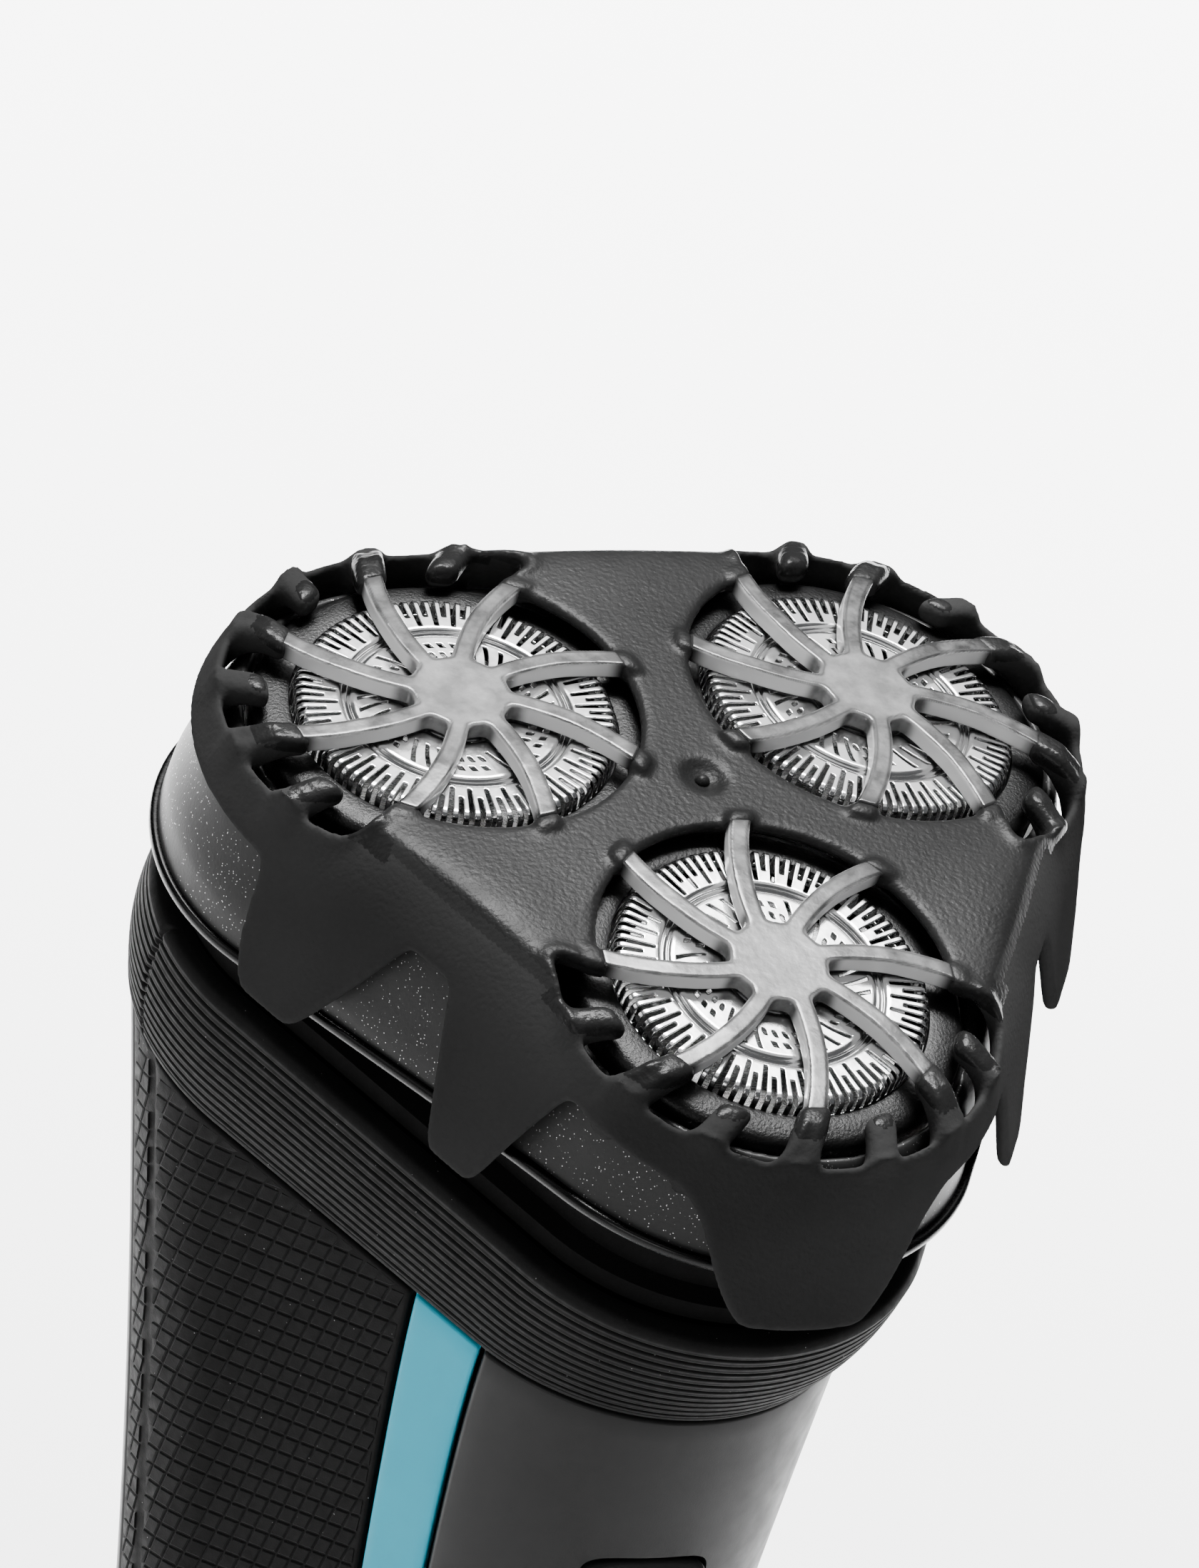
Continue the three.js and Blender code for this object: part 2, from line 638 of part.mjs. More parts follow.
// A spur gear outline of plain tapered teeth, thinned for running clearance.
function gearShape(teeth, bore, turn) {
  const pitch = (MODULE * teeth) / 2;
  const step = (2 * PI) / teeth;
  const corners = [[-0.30, -1.1], [-0.115, 0.7], [0.115, 0.7], [0.30, -1.1]];
  const shape = new THREE.Shape();
  for (let i = 0; i < teeth; i += 1) {
    corners.forEach(([share, out], k) => {
      const angle = turn + (i + share) * step;
      const point = [(pitch + out) * cos(angle), (pitch + out) * sin(angle)];
      if (i === 0 && k === 0) shape.moveTo(...point);
      else shape.lineTo(...point);
    });
  }
  shape.closePath();
  const hole = new THREE.Path();
  hole.absarc(0, 0, bore, 0, 2 * PI, true);
  shape.holes.push(hole);
  return shape;
}

function gear(teeth, bore, turn) {
  const settings = { depth: GEAR_TOP - GEAR_FOOT, bevelEnabled: false, curveSegments: 6 };
  return new THREE.ExtrudeGeometry(gearShape(teeth, bore, turn), settings).translate(0, 0, GEAR_FOOT);
}

// Turn of a driven gear whose gap receives the pinion tooth nearest to its direction.
function gearTurn(direction) {
  const pinionStep = (2 * PI) / PINION_TEETH;
  const ahead = Math.round(direction / pinionStep) * pinionStep - direction;
  return direction + PI + PI / GEAR_TEETH - (ahead * PINION_TEETH) / GEAR_TEETH;
}

const SHAFT_RADIUS = 1;
piece(head, "motor_pinion", gear(PINION_TEETH, SHAFT_RADIUS + GAP, 0), BRASS);
piece(head, "motor_shaft", rod(SHAFT_RADIUS, -30.5, -20, 12), STEEL);

function spindle() {
  return joined(
    rod(SPINDLE_RADIUS, -25.6, -12, 14),
    rod(SPINDLE_RADIUS, -12.1, -9, 14, SPINDLE_TIP),
    rod(SPINDLE_TIP, -9.1, -5.9, 6),
    rod(2.6, -25.6, -23.6, 14),
  );
}

class Coil extends THREE.Curve {
  constructor(radius, low, high, turns) {
    super();
    Object.assign(this, { radius, low, high, turns });
  }

  getPoint(t, target = new THREE.Vector3()) {
    const angle = 2 * PI * this.turns * t;
    const z = this.low + t * (this.high - this.low);
    return target.set(this.radius * cos(angle), this.radius * sin(angle), z);
  }
}

function coilSpring(radius, low, high, turns, wire) {
  const section = new THREE.Shape();
  [[1, 0], [0, 1], [-1, 0], [0, -1]].forEach(([x, y], i) => {
    if (i === 0) section.moveTo(x * wire, y * wire);
    else section.lineTo(x * wire, y * wire);
  });
  section.closePath();
  const extrudePath = new Coil(radius, low, high, turns);
  return new THREE.ExtrudeGeometry(section, { steps: turns * 8, bevelEnabled: false, extrudePath });
}

for (const [name, degrees] of Object.entries(HEADS)) {
  const place = [LOBE * cos(rad(degrees)), LOBE * sin(rad(degrees)), 0];
  const driven = gear(GEAR_TEETH, SPINDLE_RADIUS + GAP, gearTurn(rad(degrees)));
  piece(head, `drive_gear_${name}`, driven, WHITE_PLASTIC).position.set(...place);
  piece(head, `drive_spindle_${name}`, spindle(), STEEL).position.set(...place);
  const spring = coilSpring(2.6, -17.6, -12.6, 3, 0.25);
  piece(head, `spindle_spring_${name}`, spring, STEEL).position.set(...place);
}

// Screws between the gears, from the deck down to the gear plate.
screwSpots.forEach((spot, i) => {
  const screw = joined(rod(0.8, -25.8, -18, 8), rod(1.7, -18.1, -17.2, 10));
  piece(head, `deck_screw_${i + 1}`, screw, STEEL).position.set(...spot);
});

// The plate that closes the gearbox and carries the motor.
function gearPlate() {
  const angles = around(24);
  const plate = band([[-27.6, 0.9], [-26.1, 0.8]].map(([z, shift]) => ring(angles, 14.6, 12.4, z, shift)));
  return cut(plate, rod(SHAFT_RADIUS + 1, -30, -24, 12));
}

piece(head, "gear_plate", gearPlate(), WHITE_PLASTIC);

function motorCase() {
  const can = joined(rod(MOTOR_RADIUS, MOTOR_FOOT, MOTOR_TOP, 22), rod(3, MOTOR_FOOT - 1.5, MOTOR_FOOT, 12));
  return cut(can, rod(SHAFT_RADIUS + GAP, -31, -28, 12));
}

piece(head, "motor", motorCase(), STEEL);

// ---------------------------------------------------------------- the handle's shell

const LEVELS = [0, 0.18, 0.36, 0.52, 0.68, 0.84, 1];
const HEEL_TOP = HEEL_HEIGHT + GAP;

// How far the front of the handle leans out at a height.
function slopeAt(z) {
  const front = (height) => -bodyPoint(-PI / 2, height, 0).y;
  return Math.atan2(front(z + 1) - front(z - 1), 2);
}

// A group on the front panel, whose -Y points straight out of the surface.
function frontGroup(z) {
  const spot = new THREE.Group();
  spot.position.set(0, bodyPoint(-PI / 2, z, 0).y, z);
  spot.rotation.x = -slopeAt(z);
  spot.updateMatrix();
  group.add(spot);
  return spot;
}

const powerSpot = frontGroup(POWER_AT);
const releaseSpot = frontGroup(RELEASE_AT);

// A round plug along the front group's Y, between two depths behind the surface.
const plug = (radius, from, to, segments = 24) => rod(radius, -to, -from, segments).rotateX(PI / 2);
const onSpot = (shape, spot) => shape.clone().applyMatrix4(spot.matrix);
const powerHole = onSpot(plug(POWER_RADIUS + POWER_RING + GAP, -4, 8), powerSpot);
const [releaseWide, releaseTall] = RELEASE_SIZE;

function pad(grow, from, to) {
  const wide = releaseWide / 2 + grow;
  const tall = releaseTall / 2 + grow;
  return block([-wide, wide], [from, to], [-tall, tall]);
}

const releaseHole = onSpot(pad(GAP, -4, 8), releaseSpot);
const statusSpot = frontGroup(STATUS_AT);
const STATUS_RADIUS = 1.2;
const statusHole = onSpot(plug(STATUS_RADIUS + GAP, -4, 3, 12), statusSpot);

const frontAngles = span(seam(-FRONT_EDGE, 1), seam(FRONT_EDGE, -1), 8);
const frontPanel = wall(frontAngles, LEVELS, HEEL_TOP, 0, SKIN, "ladder");
piece(group, "front_panel", cut(frontPanel, powerHole, releaseHole, statusHole), SATIN);

for (const [name, side] of [["left", -1], ["right", 1]]) {
  const strip = span(seam(side * FRONT_EDGE, side), seam(side * STRIP_EDGE, -side), 2);
  piece(group, `accent_strip_${name}`, wall(strip, LEVELS, HEEL_TOP, 0, SKIN, "ladder"), CYAN);
  const grip = span(seam(side * STRIP_EDGE, side), seam(side * GRIP_EDGE, -side), 8);
  piece(group, `side_grip_${name}`, wall(grip, LEVELS, HEEL_TOP, 0, SKIN, "ladder"), RUBBER);
}

// Openings in the back of the handle for the trimmer's tray and for its slider.
const backAt = (z) => bodyPoint(PI / 2, z, 0).y;
const TRAY_BACK = 12;

function room(halfWidth, low, high) {
  const [x, foot, top] = [halfWidth + GAP, low - GAP, high + GAP];
  return block([-x, x], [TRAY_BACK - 1.6, 40], [foot, top]);
}

const trayHalf = TRIMMER_WIDTH / 2 + 0.5 + TRIMMER_TRAY;
const trimmerRoom = room(trayHalf, TRIMMER_FOOT - TRIMMER_TRAY, TRIMMER_TOP + 1 + TRIMMER_TRAY);
const sliderRoom = room(5.2, SLIDER_FOOT, SLIDER_TOP);

function backShell() {
  const angles = span(seam(GRIP_EDGE, 1), seam(360 - GRIP_EDGE, -1), 16);
  return cut(wall(angles, LEVELS, HEEL_TOP, 0, SKIN, "ladder"), trimmerRoom, sliderRoom);
}

piece(group, "back_shell", backShell(), SATIN);

function innerHousing() {
  const tube = wall(around(24), LEVELS, HEEL_TOP, SKIN + GAP, LINER, "ring");
  return cut(tube, powerHole, releaseHole, trimmerRoom, sliderRoom);
}

piece(group, "inner_housing", innerHousing(), BLACK);

// ---------------------------------------------------------------- base and inlet

function baseCap() {
  const angles = around(30);
  const level = (z, inset) => {
    const scale = bodyScale(z);
    return ring(angles, BODY_LOBE * scale, BODY_CORNER * scale - inset, z);
  };
  const outer = [level(0, 4.2), level(1, 2.0), level(3.4, 0.5), level(6.5, 0), level(HEEL_HEIGHT, 0)];
  const inner = [level(HEEL_HEIGHT, 1.8), level(5, 2.2), level(2.5, 4.5)];
  const hollow = band([...outer, ...inner]);
  const hole = block(
    [-SOCKET_WIDTH / 2 - 1 - GAP, SOCKET_WIDTH / 2 + 1 + GAP],
    [-SOCKET_HEIGHT / 2 - 1 - GAP, SOCKET_HEIGHT / 2 + 1 + GAP],
    [-1, 4],
  );
  return cut(hollow, hole.translate(0, SOCKET_BACK, 0));
}

piece(group, "base_cap", baseCap(), SATIN);

function chargingSocket() {
  const x = SOCKET_WIDTH / 2;
  const y = SOCKET_HEIGHT / 2;
  const cup = block([-x - 1, x + 1], [-y - 1, y + 1], [0.4, SOCKET_DEPTH + 1.4]);
  const bores = [-1, 1].map((side) => rod(0.75 + GAP, 8, 12, 8).translate(side * 2, 0, 0));
  return cut(cup, block([-x, x], [-y, y], [-1, SOCKET_DEPTH]), ...bores);
}

piece(group, "charging_socket", chargingSocket(), BLACK).position.y = SOCKET_BACK;
for (const [name, side] of [["left", -1], ["right", 1]]) {
  const pin = rod(0.75, 3.5, 12, 8).translate(side * 2, SOCKET_BACK, 0);
  piece(group, `socket_pin_${name}`, pin, BRASS);
}

// ---------------------------------------------------------------- inside the handle

const battery = joined(rod(7, 20, 66, 22), rod(2.4, 66, 67.4, 12)).translate([0, 1.5, 0]);
piece(group, "battery", battery, CELL);
piece(group, "circuit_board", block([-6.4, 6.4], [-8.6, -7.4], [16, 88]), BOARD);

// ---------------------------------------------------------------- buttons

piece(powerSpot, "power_button", plug(POWER_RADIUS - GAP, -0.3, 2.8), SATIN);
const powerRing = cut(plug(POWER_RADIUS + POWER_RING, 0, 2.6), plug(POWER_RADIUS, -2, 4));
piece(powerSpot, "power_button_ring", powerRing, CHROME);
piece(releaseSpot, "head_release_button", pad(0, -0.7, 2.4), SATIN);

piece(statusSpot, "status_light", plug(STATUS_RADIUS, -0.1, 1.4, 12), LENS);

// ---------------------------------------------------------------- trimmer

// A slab across the back of the handle: flat inside, following the back's slope outside.
function slab(halfWidth, inner, low, high, inset = 0) {
  const loops = span(low, high, 3).map((z) => {
    const outer = backAt(z) - inset;
    const corners = [[-1, inner], [1, inner], [1, outer], [-1, outer]];
    return corners.map(([side, y]) => vec(side * halfWidth, y, z));
  });
  return band(loops);
}

const PIVOT_Y = backAt(TRIMMER_FOOT) - 2.2;
const PIVOT_Z = TRIMMER_FOOT + 2.4;
const PIVOT_PIN = 0.7;
const FLAP_BACK = TRAY_BACK + 1.5;
const FLAP_TOP = TRIMMER_TOP - 5.5;
const across = (radius, half, segments = 14) => rod(radius, -half, half, segments).rotateY(PI / 2);
const atPivot = (shape) => shape.translate(0, PIVOT_Y, PIVOT_Z);

function trimmerTray() {
  const box = slab(trayHalf, TRAY_BACK - 1, TRIMMER_FOOT - TRIMMER_TRAY, TRIMMER_TOP + 1 + TRIMMER_TRAY);
  const half = TRIMMER_WIDTH / 2 + 0.5;
  const hollow = block([-half, half], [TRAY_BACK, 40], [TRIMMER_FOOT - 0.3, TRIMMER_TOP + 1]);
  return cut(box, hollow, atPivot(across(PIVOT_PIN + GAP, half + 0.8)));
}

function trimmerFlap() {
  const half = TRIMMER_WIDTH / 2;
  const cheek = slab(half, FLAP_BACK, PIVOT_Z, FLAP_TOP);
  const heel = atPivot(across(2.1, half, 18));
  const shelf = block([-half + 1, half - 1], [FLAP_BACK, FLAP_BACK + 3], [FLAP_TOP - 1, FLAP_TOP + 3]);
  return cut(joined(cheek, heel, shelf), atPivot(across(PIVOT_PIN + GAP, half + 1)));
}

// A flat blade with a row of teeth along its top edge.
function toothedBlade(teeth, half, low, root, tip, front) {
  const step = (2 * half) / teeth;
  const shape = new THREE.Shape();
  shape.moveTo(-half, low);
  shape.lineTo(half, low);
  for (let i = teeth - 1; i >= 0; i -= 1) {
    const left = -half + i * step;
    shape.lineTo(left + 0.92 * step, root);
    shape.lineTo(left + 0.68 * step, tip);
    shape.lineTo(left + 0.32 * step, tip);
    shape.lineTo(left + 0.08 * step, root);
  }
  shape.closePath();
  const plate = new THREE.ExtrudeGeometry(shape, { depth: 0.6, bevelEnabled: false });
  return plate.rotateX(PI / 2).translate(0, front, 0);
}

const BLADE_FRONT = FLAP_BACK + 4.8;
const bladeFoot = FLAP_TOP + 0.3;
piece(group, "trimmer_tray", trimmerTray(), BLACK);
piece(group, "trimmer_flap", trimmerFlap(), SATIN);
piece(group, "trimmer_pin", atPivot(across(PIVOT_PIN, TRIMMER_WIDTH / 2 + 1, 10)), STEEL);
const fixedBlade = toothedBlade(14, BLADE_SPAN / 2, bladeFoot, TRIMMER_TOP - 2, TRIMMER_TOP, BLADE_FRONT);
piece(group, "trimmer_fixed_blade", fixedBlade, STEEL);
const movingTip = TRIMMER_TOP - 0.4;
const movingHalf = BLADE_SPAN / 2 - 0.8;
const movingBlade = toothedBlade(12, movingHalf, bladeFoot, TRIMMER_TOP - 2, movingTip, BLADE_FRONT - 0.9);
piece(group, "trimmer_moving_blade", movingBlade, STEEL);

function trimmerSlider() {
  const foot = SLIDER_FOOT + SLIDER_TRAVEL;
  const knob = slab(4.9, TRAY_BACK + 0.6, foot, SLIDER_TOP, -0.8);
  const ridges = [1, 2, 3, 4].map((i) => {
    const z = foot + (i * SLIDER_TRAVEL) / 5;
    return block([-3.6, 3.6], [backAt(z) + 0.4, backAt(z) + 1.3], [z - 0.3, z + 0.3]);
  });
  return joined(knob, ...ridges);
}

piece(group, "trimmer_slider", trimmerSlider(), SATIN);
const sliderTray = block([-5, 5], [TRAY_BACK - 0.8, TRAY_BACK + 0.2], [SLIDER_FOOT, SLIDER_TOP]);
piece(group, "slider_tray", sliderTray, BLACK);

export default group;
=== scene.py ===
"""Looks of the cordless rotary shaver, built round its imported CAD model.

Shapes are worked out in millimetres and turned into metres when a mesh is made. The axes
are the part's own: +Z runs up the handle, -Y is its front and +X its right-hand side.
"""

import json
from functools import reduce
from math import atan2, cos, pi, radians, sin, tan

import bpy
import numpy as np
from mathutils import Matrix, Vector

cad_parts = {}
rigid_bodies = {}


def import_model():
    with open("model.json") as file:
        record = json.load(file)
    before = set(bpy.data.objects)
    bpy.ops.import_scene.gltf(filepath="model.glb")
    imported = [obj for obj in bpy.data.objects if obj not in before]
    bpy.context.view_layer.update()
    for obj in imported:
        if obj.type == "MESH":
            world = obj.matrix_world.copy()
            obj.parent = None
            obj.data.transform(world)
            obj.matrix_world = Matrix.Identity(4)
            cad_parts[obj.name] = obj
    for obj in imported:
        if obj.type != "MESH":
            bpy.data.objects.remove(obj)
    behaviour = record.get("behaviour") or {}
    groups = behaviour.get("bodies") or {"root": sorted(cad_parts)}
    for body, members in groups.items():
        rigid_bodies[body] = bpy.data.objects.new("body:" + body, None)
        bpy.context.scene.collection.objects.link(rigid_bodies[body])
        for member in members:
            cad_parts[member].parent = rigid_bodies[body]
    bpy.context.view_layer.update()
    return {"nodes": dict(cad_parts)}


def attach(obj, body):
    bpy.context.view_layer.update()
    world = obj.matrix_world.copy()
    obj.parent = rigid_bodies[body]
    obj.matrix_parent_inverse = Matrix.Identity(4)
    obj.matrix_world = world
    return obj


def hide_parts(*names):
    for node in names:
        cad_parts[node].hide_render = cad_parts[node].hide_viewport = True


for leftover in list(bpy.data.objects):
    bpy.data.objects.remove(leftover)
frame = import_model()

# ---- driving dimensions

MM = 0.001
GAP = 0.3

BODY_LOBE = 14.0
BODY_CORNER = 16.6
COLLAR_FOOT = 122.0
WAIST_AT = 52.0
WAIST_SCALE = 0.70
TAPER_POWER = 1.4
HEEL_SCALE = 0.045
HEEL_HEIGHT = 13.0
SKIN = 1.5

FRONT_EDGE = 33.0
STRIP_EDGE = 46.5
DIAMOND_EDGE = 101.3
GRIP_EDGE = 110.0

HEAD_TILT = radians(15)
HEAD_RISE = 31.0
HEAD_SHIFT = 1.4
LOBE = 17.28
FOIL_TILT = radians(5.7)
FOIL_RADIUS = 11.0
HEADS = {"front": -90.0, "right": 30.0, "left": 150.0}

CASE_CORNER = 17.0
CASE_EDGE_BACK = -15.6
CASE_EDGE_FRONT = -11.7
FOIL_HOLE = 14.3
BEZEL_RADIUS = 14.0
WALL = 1.5

COMB_LOBE = 16.5
COMB_CORNER = 20.5
COMB_WALL = 1.0
COMB_OPENING = 12.5
COMB_WINDOW = 16.0
ARM_COUNT = 8
ARM_FIRST = radians(-94)
ARM_WIDTH = 1.45
ARM_DEPTH = 1.35
ARM_REACH = 12.7
HUB_RADIUS = 3.5
ARM_SWIRL = radians(1.6)

HINGE_Y = 24.0
HINGE_Z = -17.5
HINGE_PIN = 1.0
HINGE_EYE = 2.3

COLLAR_RIBS = 11
RIB_DEPTH = 0.32
COLLAR_TOP = -19.5
COLLAR_BULGE = 0.5

# ---- frames of reference

HEAD = Matrix.Translation((
    0,
    -HEAD_RISE * sin(HEAD_TILT) - HEAD_SHIFT * cos(HEAD_TILT),
    COLLAR_FOOT + HEAD_RISE * cos(HEAD_TILT) - HEAD_SHIFT * sin(HEAD_TILT),
)) @ Matrix.Rotation(HEAD_TILT, 4, "X")


def foil_matrix(degrees):
    """The frame of a foil, seen from the head's frame."""
    turn = radians(degrees)
    spot = Matrix.Translation((LOBE * cos(turn), LOBE * sin(turn), 0))
    return spot @ Matrix.Rotation(turn, 4, "Z") @ Matrix.Rotation(FOIL_TILT, 4, "Y")


FOILS = {name: foil_matrix(degrees) for name, degrees in HEADS.items()}

# ---- the rounded triangle


def outline(angle, lobe, corner):
    """Distance from the middle to the belt round three circles at distance lobe."""
    third = 2 * pi / 3
    off = np.abs(np.mod(angle + pi / 2 + pi / 3, third) - pi / 3)
    tangent = np.arctan2(corner * sin(pi / 3), lobe + corner / 2)
    belt = (lobe / 2 + corner) / np.cos(pi / 3 - off)
    arc = lobe * np.cos(off) + np.sqrt(np.maximum(corner ** 2 - (lobe * np.sin(off)) ** 2, 0))
    return np.where(off > tangent, belt, arc)


def cornerness(angle):
    """1 at the three corners and 0 half way between them."""
    return 0.5 + 0.5 * np.cos(3 * (angle + pi / 2))


def body_scale(z):
    up = (z - WAIST_AT) / (COLLAR_FOOT - WAIST_AT)
    upper = WAIST_SCALE + (1 - WAIST_SCALE) * np.maximum(up, 0) ** TAPER_POWER
    heel = np.sin(np.clip(1 - z / WAIST_AT, 0, 1) * pi / 2) ** 2
    return np.where(up >= 0, upper, WAIST_SCALE + HEEL_SCALE * heel)


def polar(radius, angle, z, shift=0.0):
    """Points at a distance, angle and height, moved back by shift."""
    return np.stack([radius * np.cos(angle), radius * np.sin(angle) + shift, z + 0 * angle], -1)


def body_points(angle, z, inset):
    """Points of the handle's surface, moved inward by inset."""
    scale = body_scale(z)
    return polar(outline(angle, BODY_LOBE * scale, BODY_CORNER * scale - inset), angle, z)


def under_collar(angle, inset, drop):
    """Height of the handle's upper edge, which lies in a plane parallel to the head."""
    z = np.full_like(angle, COLLAR_FOOT)
    for _ in range(4):
        z = COLLAR_FOOT - drop + body_points(angle, z, inset)[..., 1] * tan(HEAD_TILT)
    return z


def ring(angle, lobe, corner, z, shift=0.0):
    return polar(outline(angle, lobe, corner), angle, z, shift)


def around(count):
    return -pi / 2 + np.arange(count) * 2 * pi / count


def smoothstep(value, low, high):
    t = np.clip((value - low) / (high - low), 0, 1)
    return t * t * (3 - 2 * t)


# ---- making meshes


def make(name, points, faces, matrix=Matrix()):
    """A new object from points in millimetres and arrays of faces, in a frame of the part."""
    mesh = bpy.data.meshes.new(name)
    groups = [np.asarray(group) for group in (faces if isinstance(faces, list) else [faces])]
    mesh.vertices.add(len(points))
    mesh.vertices.foreach_set("co", (np.asarray(points, float) * MM).ravel())
    sizes = np.concatenate([np.full(len(group), group.shape[1]) for group in groups])
    corners = np.concatenate([group.ravel() for group in groups])
    mesh.loops.add(len(corners))
    mesh.loops.foreach_set("vertex_index", corners)
    mesh.polygons.add(len(sizes))
    mesh.polygons.foreach_set("loop_start", np.concatenate([[0], np.cumsum(sizes)[:-1]]))
    mesh.update(calc_edges=True)
    mesh.validate()
    thing = bpy.data.objects.new(name, mesh)
    bpy.context.scene.collection.objects.link(thing)
    placed = matrix.copy()
    placed.translation = matrix.translation * MM
    thing.matrix_world = placed
    return thing


def grid_faces(rows, columns, wrap=False, first=0):
    """Quads of a grid of points stored row by row."""
    across = columns if wrap else columns - 1
    i, j = np.meshgrid(np.arange(rows - 1), np.arange(across), indexing="ij")
    k = (j + 1) % columns
    low, high = i * columns, (i + 1) * columns
    return first + np.stack([low + j, low + k, high + k, high + j], -1).reshape(-1, 4)


def outward(points, faces):
    """The same faces, turned so that they face out of the closed surface."""
    corners = points[faces]
    volume = np.einsum("ij,ij->", corners[:, 0], np.cross(corners[:, 1], corners[:, 2]))
    volume += np.einsum("ij,ij->", corners[:, 0], np.cross(corners[:, 2], corners[:, -1]))
    return faces if volume > 0 else faces[:, ::-1]


def loft(name, loops, matrix=Matrix(), closed=False):
    """Skins loops of equal length. The ends are fans, or the last loop meets the first."""
    loops = np.asarray(loops)
    rows, columns = loops.shape[:2]
    points = loops.reshape(-1, 3)
    faces = grid_faces(rows, columns, wrap=True)
    top = (rows - 1) * columns
    j = np.arange(columns)
    k = (j + 1) % columns
    if closed:
        faces = np.concatenate([faces, np.stack([top + j, top + k, k, j], -1)])
        return make(name, points, outward(points, faces), matrix)
    points = np.concatenate([points, [loops[0].mean(0), loops[-1].mean(0)]])
    first, last = 0 * j + rows * columns, 0 * j + rows * columns + 1
    caps = [np.stack([k, j, first], -1), np.stack([top + j, top + k, last], -1)]
    quads = outward(points, faces)
    if quads is not faces:
        caps = [cap[:, ::-1] for cap in caps]
    return make(name, points, [quads, *caps], matrix)


def circle(radius, z, segments):
    return polar(radius, np.arange(segments) * 2 * pi / segments, z)


def lathe(name, profile, segments=128, matrix=Matrix()):
    """Spins a closed profile of radius and height about the vertical axis."""
    loops = [circle(r, z, segments) for r, z in profile]
    return loft(name, loops, matrix, closed=profile[0][0] > 0)


def box(name, x, y, z, matrix=Matrix()):
    corners = [[(x[0], y[0], h), (x[1], y[0], h), (x[1], y[1], h), (x[0], y[1], h)] for h in z]
    return loft(name, corners, matrix)


def rod(name, radius, low, high, matrix=Matrix(), segments=64):
    return loft(name, [circle(radius, z, segments) for z in (low, high)], matrix)


def bake(thing):
    """Replaces an object's mesh by what its modifiers make of it."""
    graph = bpy.context.evaluated_depsgraph_get()
    mesh = bpy.data.meshes.new_from_object(thing.evaluated_get(graph))
    thing.modifiers.clear()
    thing.data = mesh
    return thing


def boolean(thing, *tools, operation="DIFFERENCE"):
    for tool in tools:
        step = thing.modifiers.new("boolean", "BOOLEAN")
        step.object, step.operation, step.solver = tool, operation, "MANIFOLD"
    bake(thing)
    for tool in tools:
        bpy.data.objects.remove(tool)
    return thing


def shade(thing, sharp):
    """Smooth shading that keeps edges sharper than an angle."""
    thing.data.shade_smooth()
    thing.data.set_sharp_from_angle(angle=radians(sharp))


def bevel(thing, width):
    """Welds one of the CAD's own nodes and rounds its sharp edges."""
    thing.modifiers.new("weld", "WELD").merge_threshold = 2e-6
    step = thing.modifiers.new("bevel", "BEVEL")
    step.width, step.segments = width * MM, 3
    step.limit_method, step.angle_limit = "ANGLE", radians(30)
    step.harden_normals = True


def point_layers(thing, **layers):
    """Stores named numbers on an object's points, for its material to read."""
    for name, values in layers.items():
        data = thing.data.attributes.new(name, "FLOAT", "POINT").data
        data.foreach_set("value", values.astype(np.float32))


# ---- shapes from distances

FAR = 1e9


def smooth_min(a, b, k):
    return np.minimum(a, b) - np.maximum(k - np.abs(a - b), 0) ** 2 / (4 * k)


def smooth_max(a, b, k):
    return np.maximum(a, b) + np.maximum(k - np.abs(a - b), 0) ** 2 / (4 * k)


def rounded_box(offsets, radius):
    """Distance to a box with rounded edges, from how far outside each pair of faces it is."""
    grown = [offset + radius for offset in offsets]
    outside = sqrt_sum([np.maximum(value, 0) for value in grown])
    inside = np.minimum(largest(grown), 0)
    return outside + inside - radius


def largest(values):
    return reduce(np.maximum, values)


def sqrt_sum(values):
    return np.sqrt(sum(value * value for value in values))


def lattice(low, high, step):
    """Axes of a grid of points that covers a box."""
    return [np.arange(a, b + step, step, dtype=np.float32) for a, b in zip(low, high)]


def nets(values, low, step):
    """The surface where a grid of distances is zero: points and quads, facing outward."""
    inside = values < 0
    count = np.zeros(tuple(n - 1 for n in values.shape), np.uint8)
    corners = [(i, j, k) for i in (0, 1) for j in (0, 1) for k in (0, 1)]
    nx, ny, nz = count.shape
    for i, j, k in corners:
        count += inside[i:i + nx, j:j + ny, k:k + nz]
    cells = np.argwhere((count > 0) & (count < 8))
    number = np.full(count.shape, -1, np.int32)
    number[tuple(cells.T)] = np.arange(len(cells))
    corner_values = {c: values[tuple((cells + c).T)] for c in corners}
    total = np.zeros((len(cells), 3))
    hits = np.zeros(len(cells))
    for a in corners:
        for axis in range(3):
            if a[axis]:
                continue
            b = tuple(v + (n == axis) for n, v in enumerate(a))
            va, vb = corner_values[a], corner_values[b]
            crossed = (va < 0) != (vb < 0)
            share = np.where(crossed, va / np.where(crossed, va - vb, 1), 0)
            spot = np.array(a, float) + share[:, None] * (np.array(b) - np.array(a))
            total += spot * crossed[:, None]
            hits += crossed
    points = low + step * (cells + total / hits[:, None])
    quads = []
    for axis in range(3):
        one, two = [n for n in range(3) if n != axis]
        here = [slice(1, -1)] * 3
        here[axis] = slice(0, -1)
        there = list(here)
        there[axis] = slice(1, None)
        crossed = np.argwhere(inside[tuple(here)] != inside[tuple(there)])
        crossed[:, [one, two]] += 1
        start_inside = inside[tuple(crossed.T)]
        ids = []
        for da, db in ((1, 1), (0, 1), (0, 0), (1, 0)):
            cell = crossed.copy()
            cell[:, one] -= da
            cell[:, two] -= db
            ids.append(number[tuple(cell.T)])
        quad = np.stack(ids, -1)
        flip = start_inside if axis != 1 else ~start_inside
        quads.append(np.where(flip[:, None], quad, quad[:, ::-1]))
    return points, np.concatenate(quads)


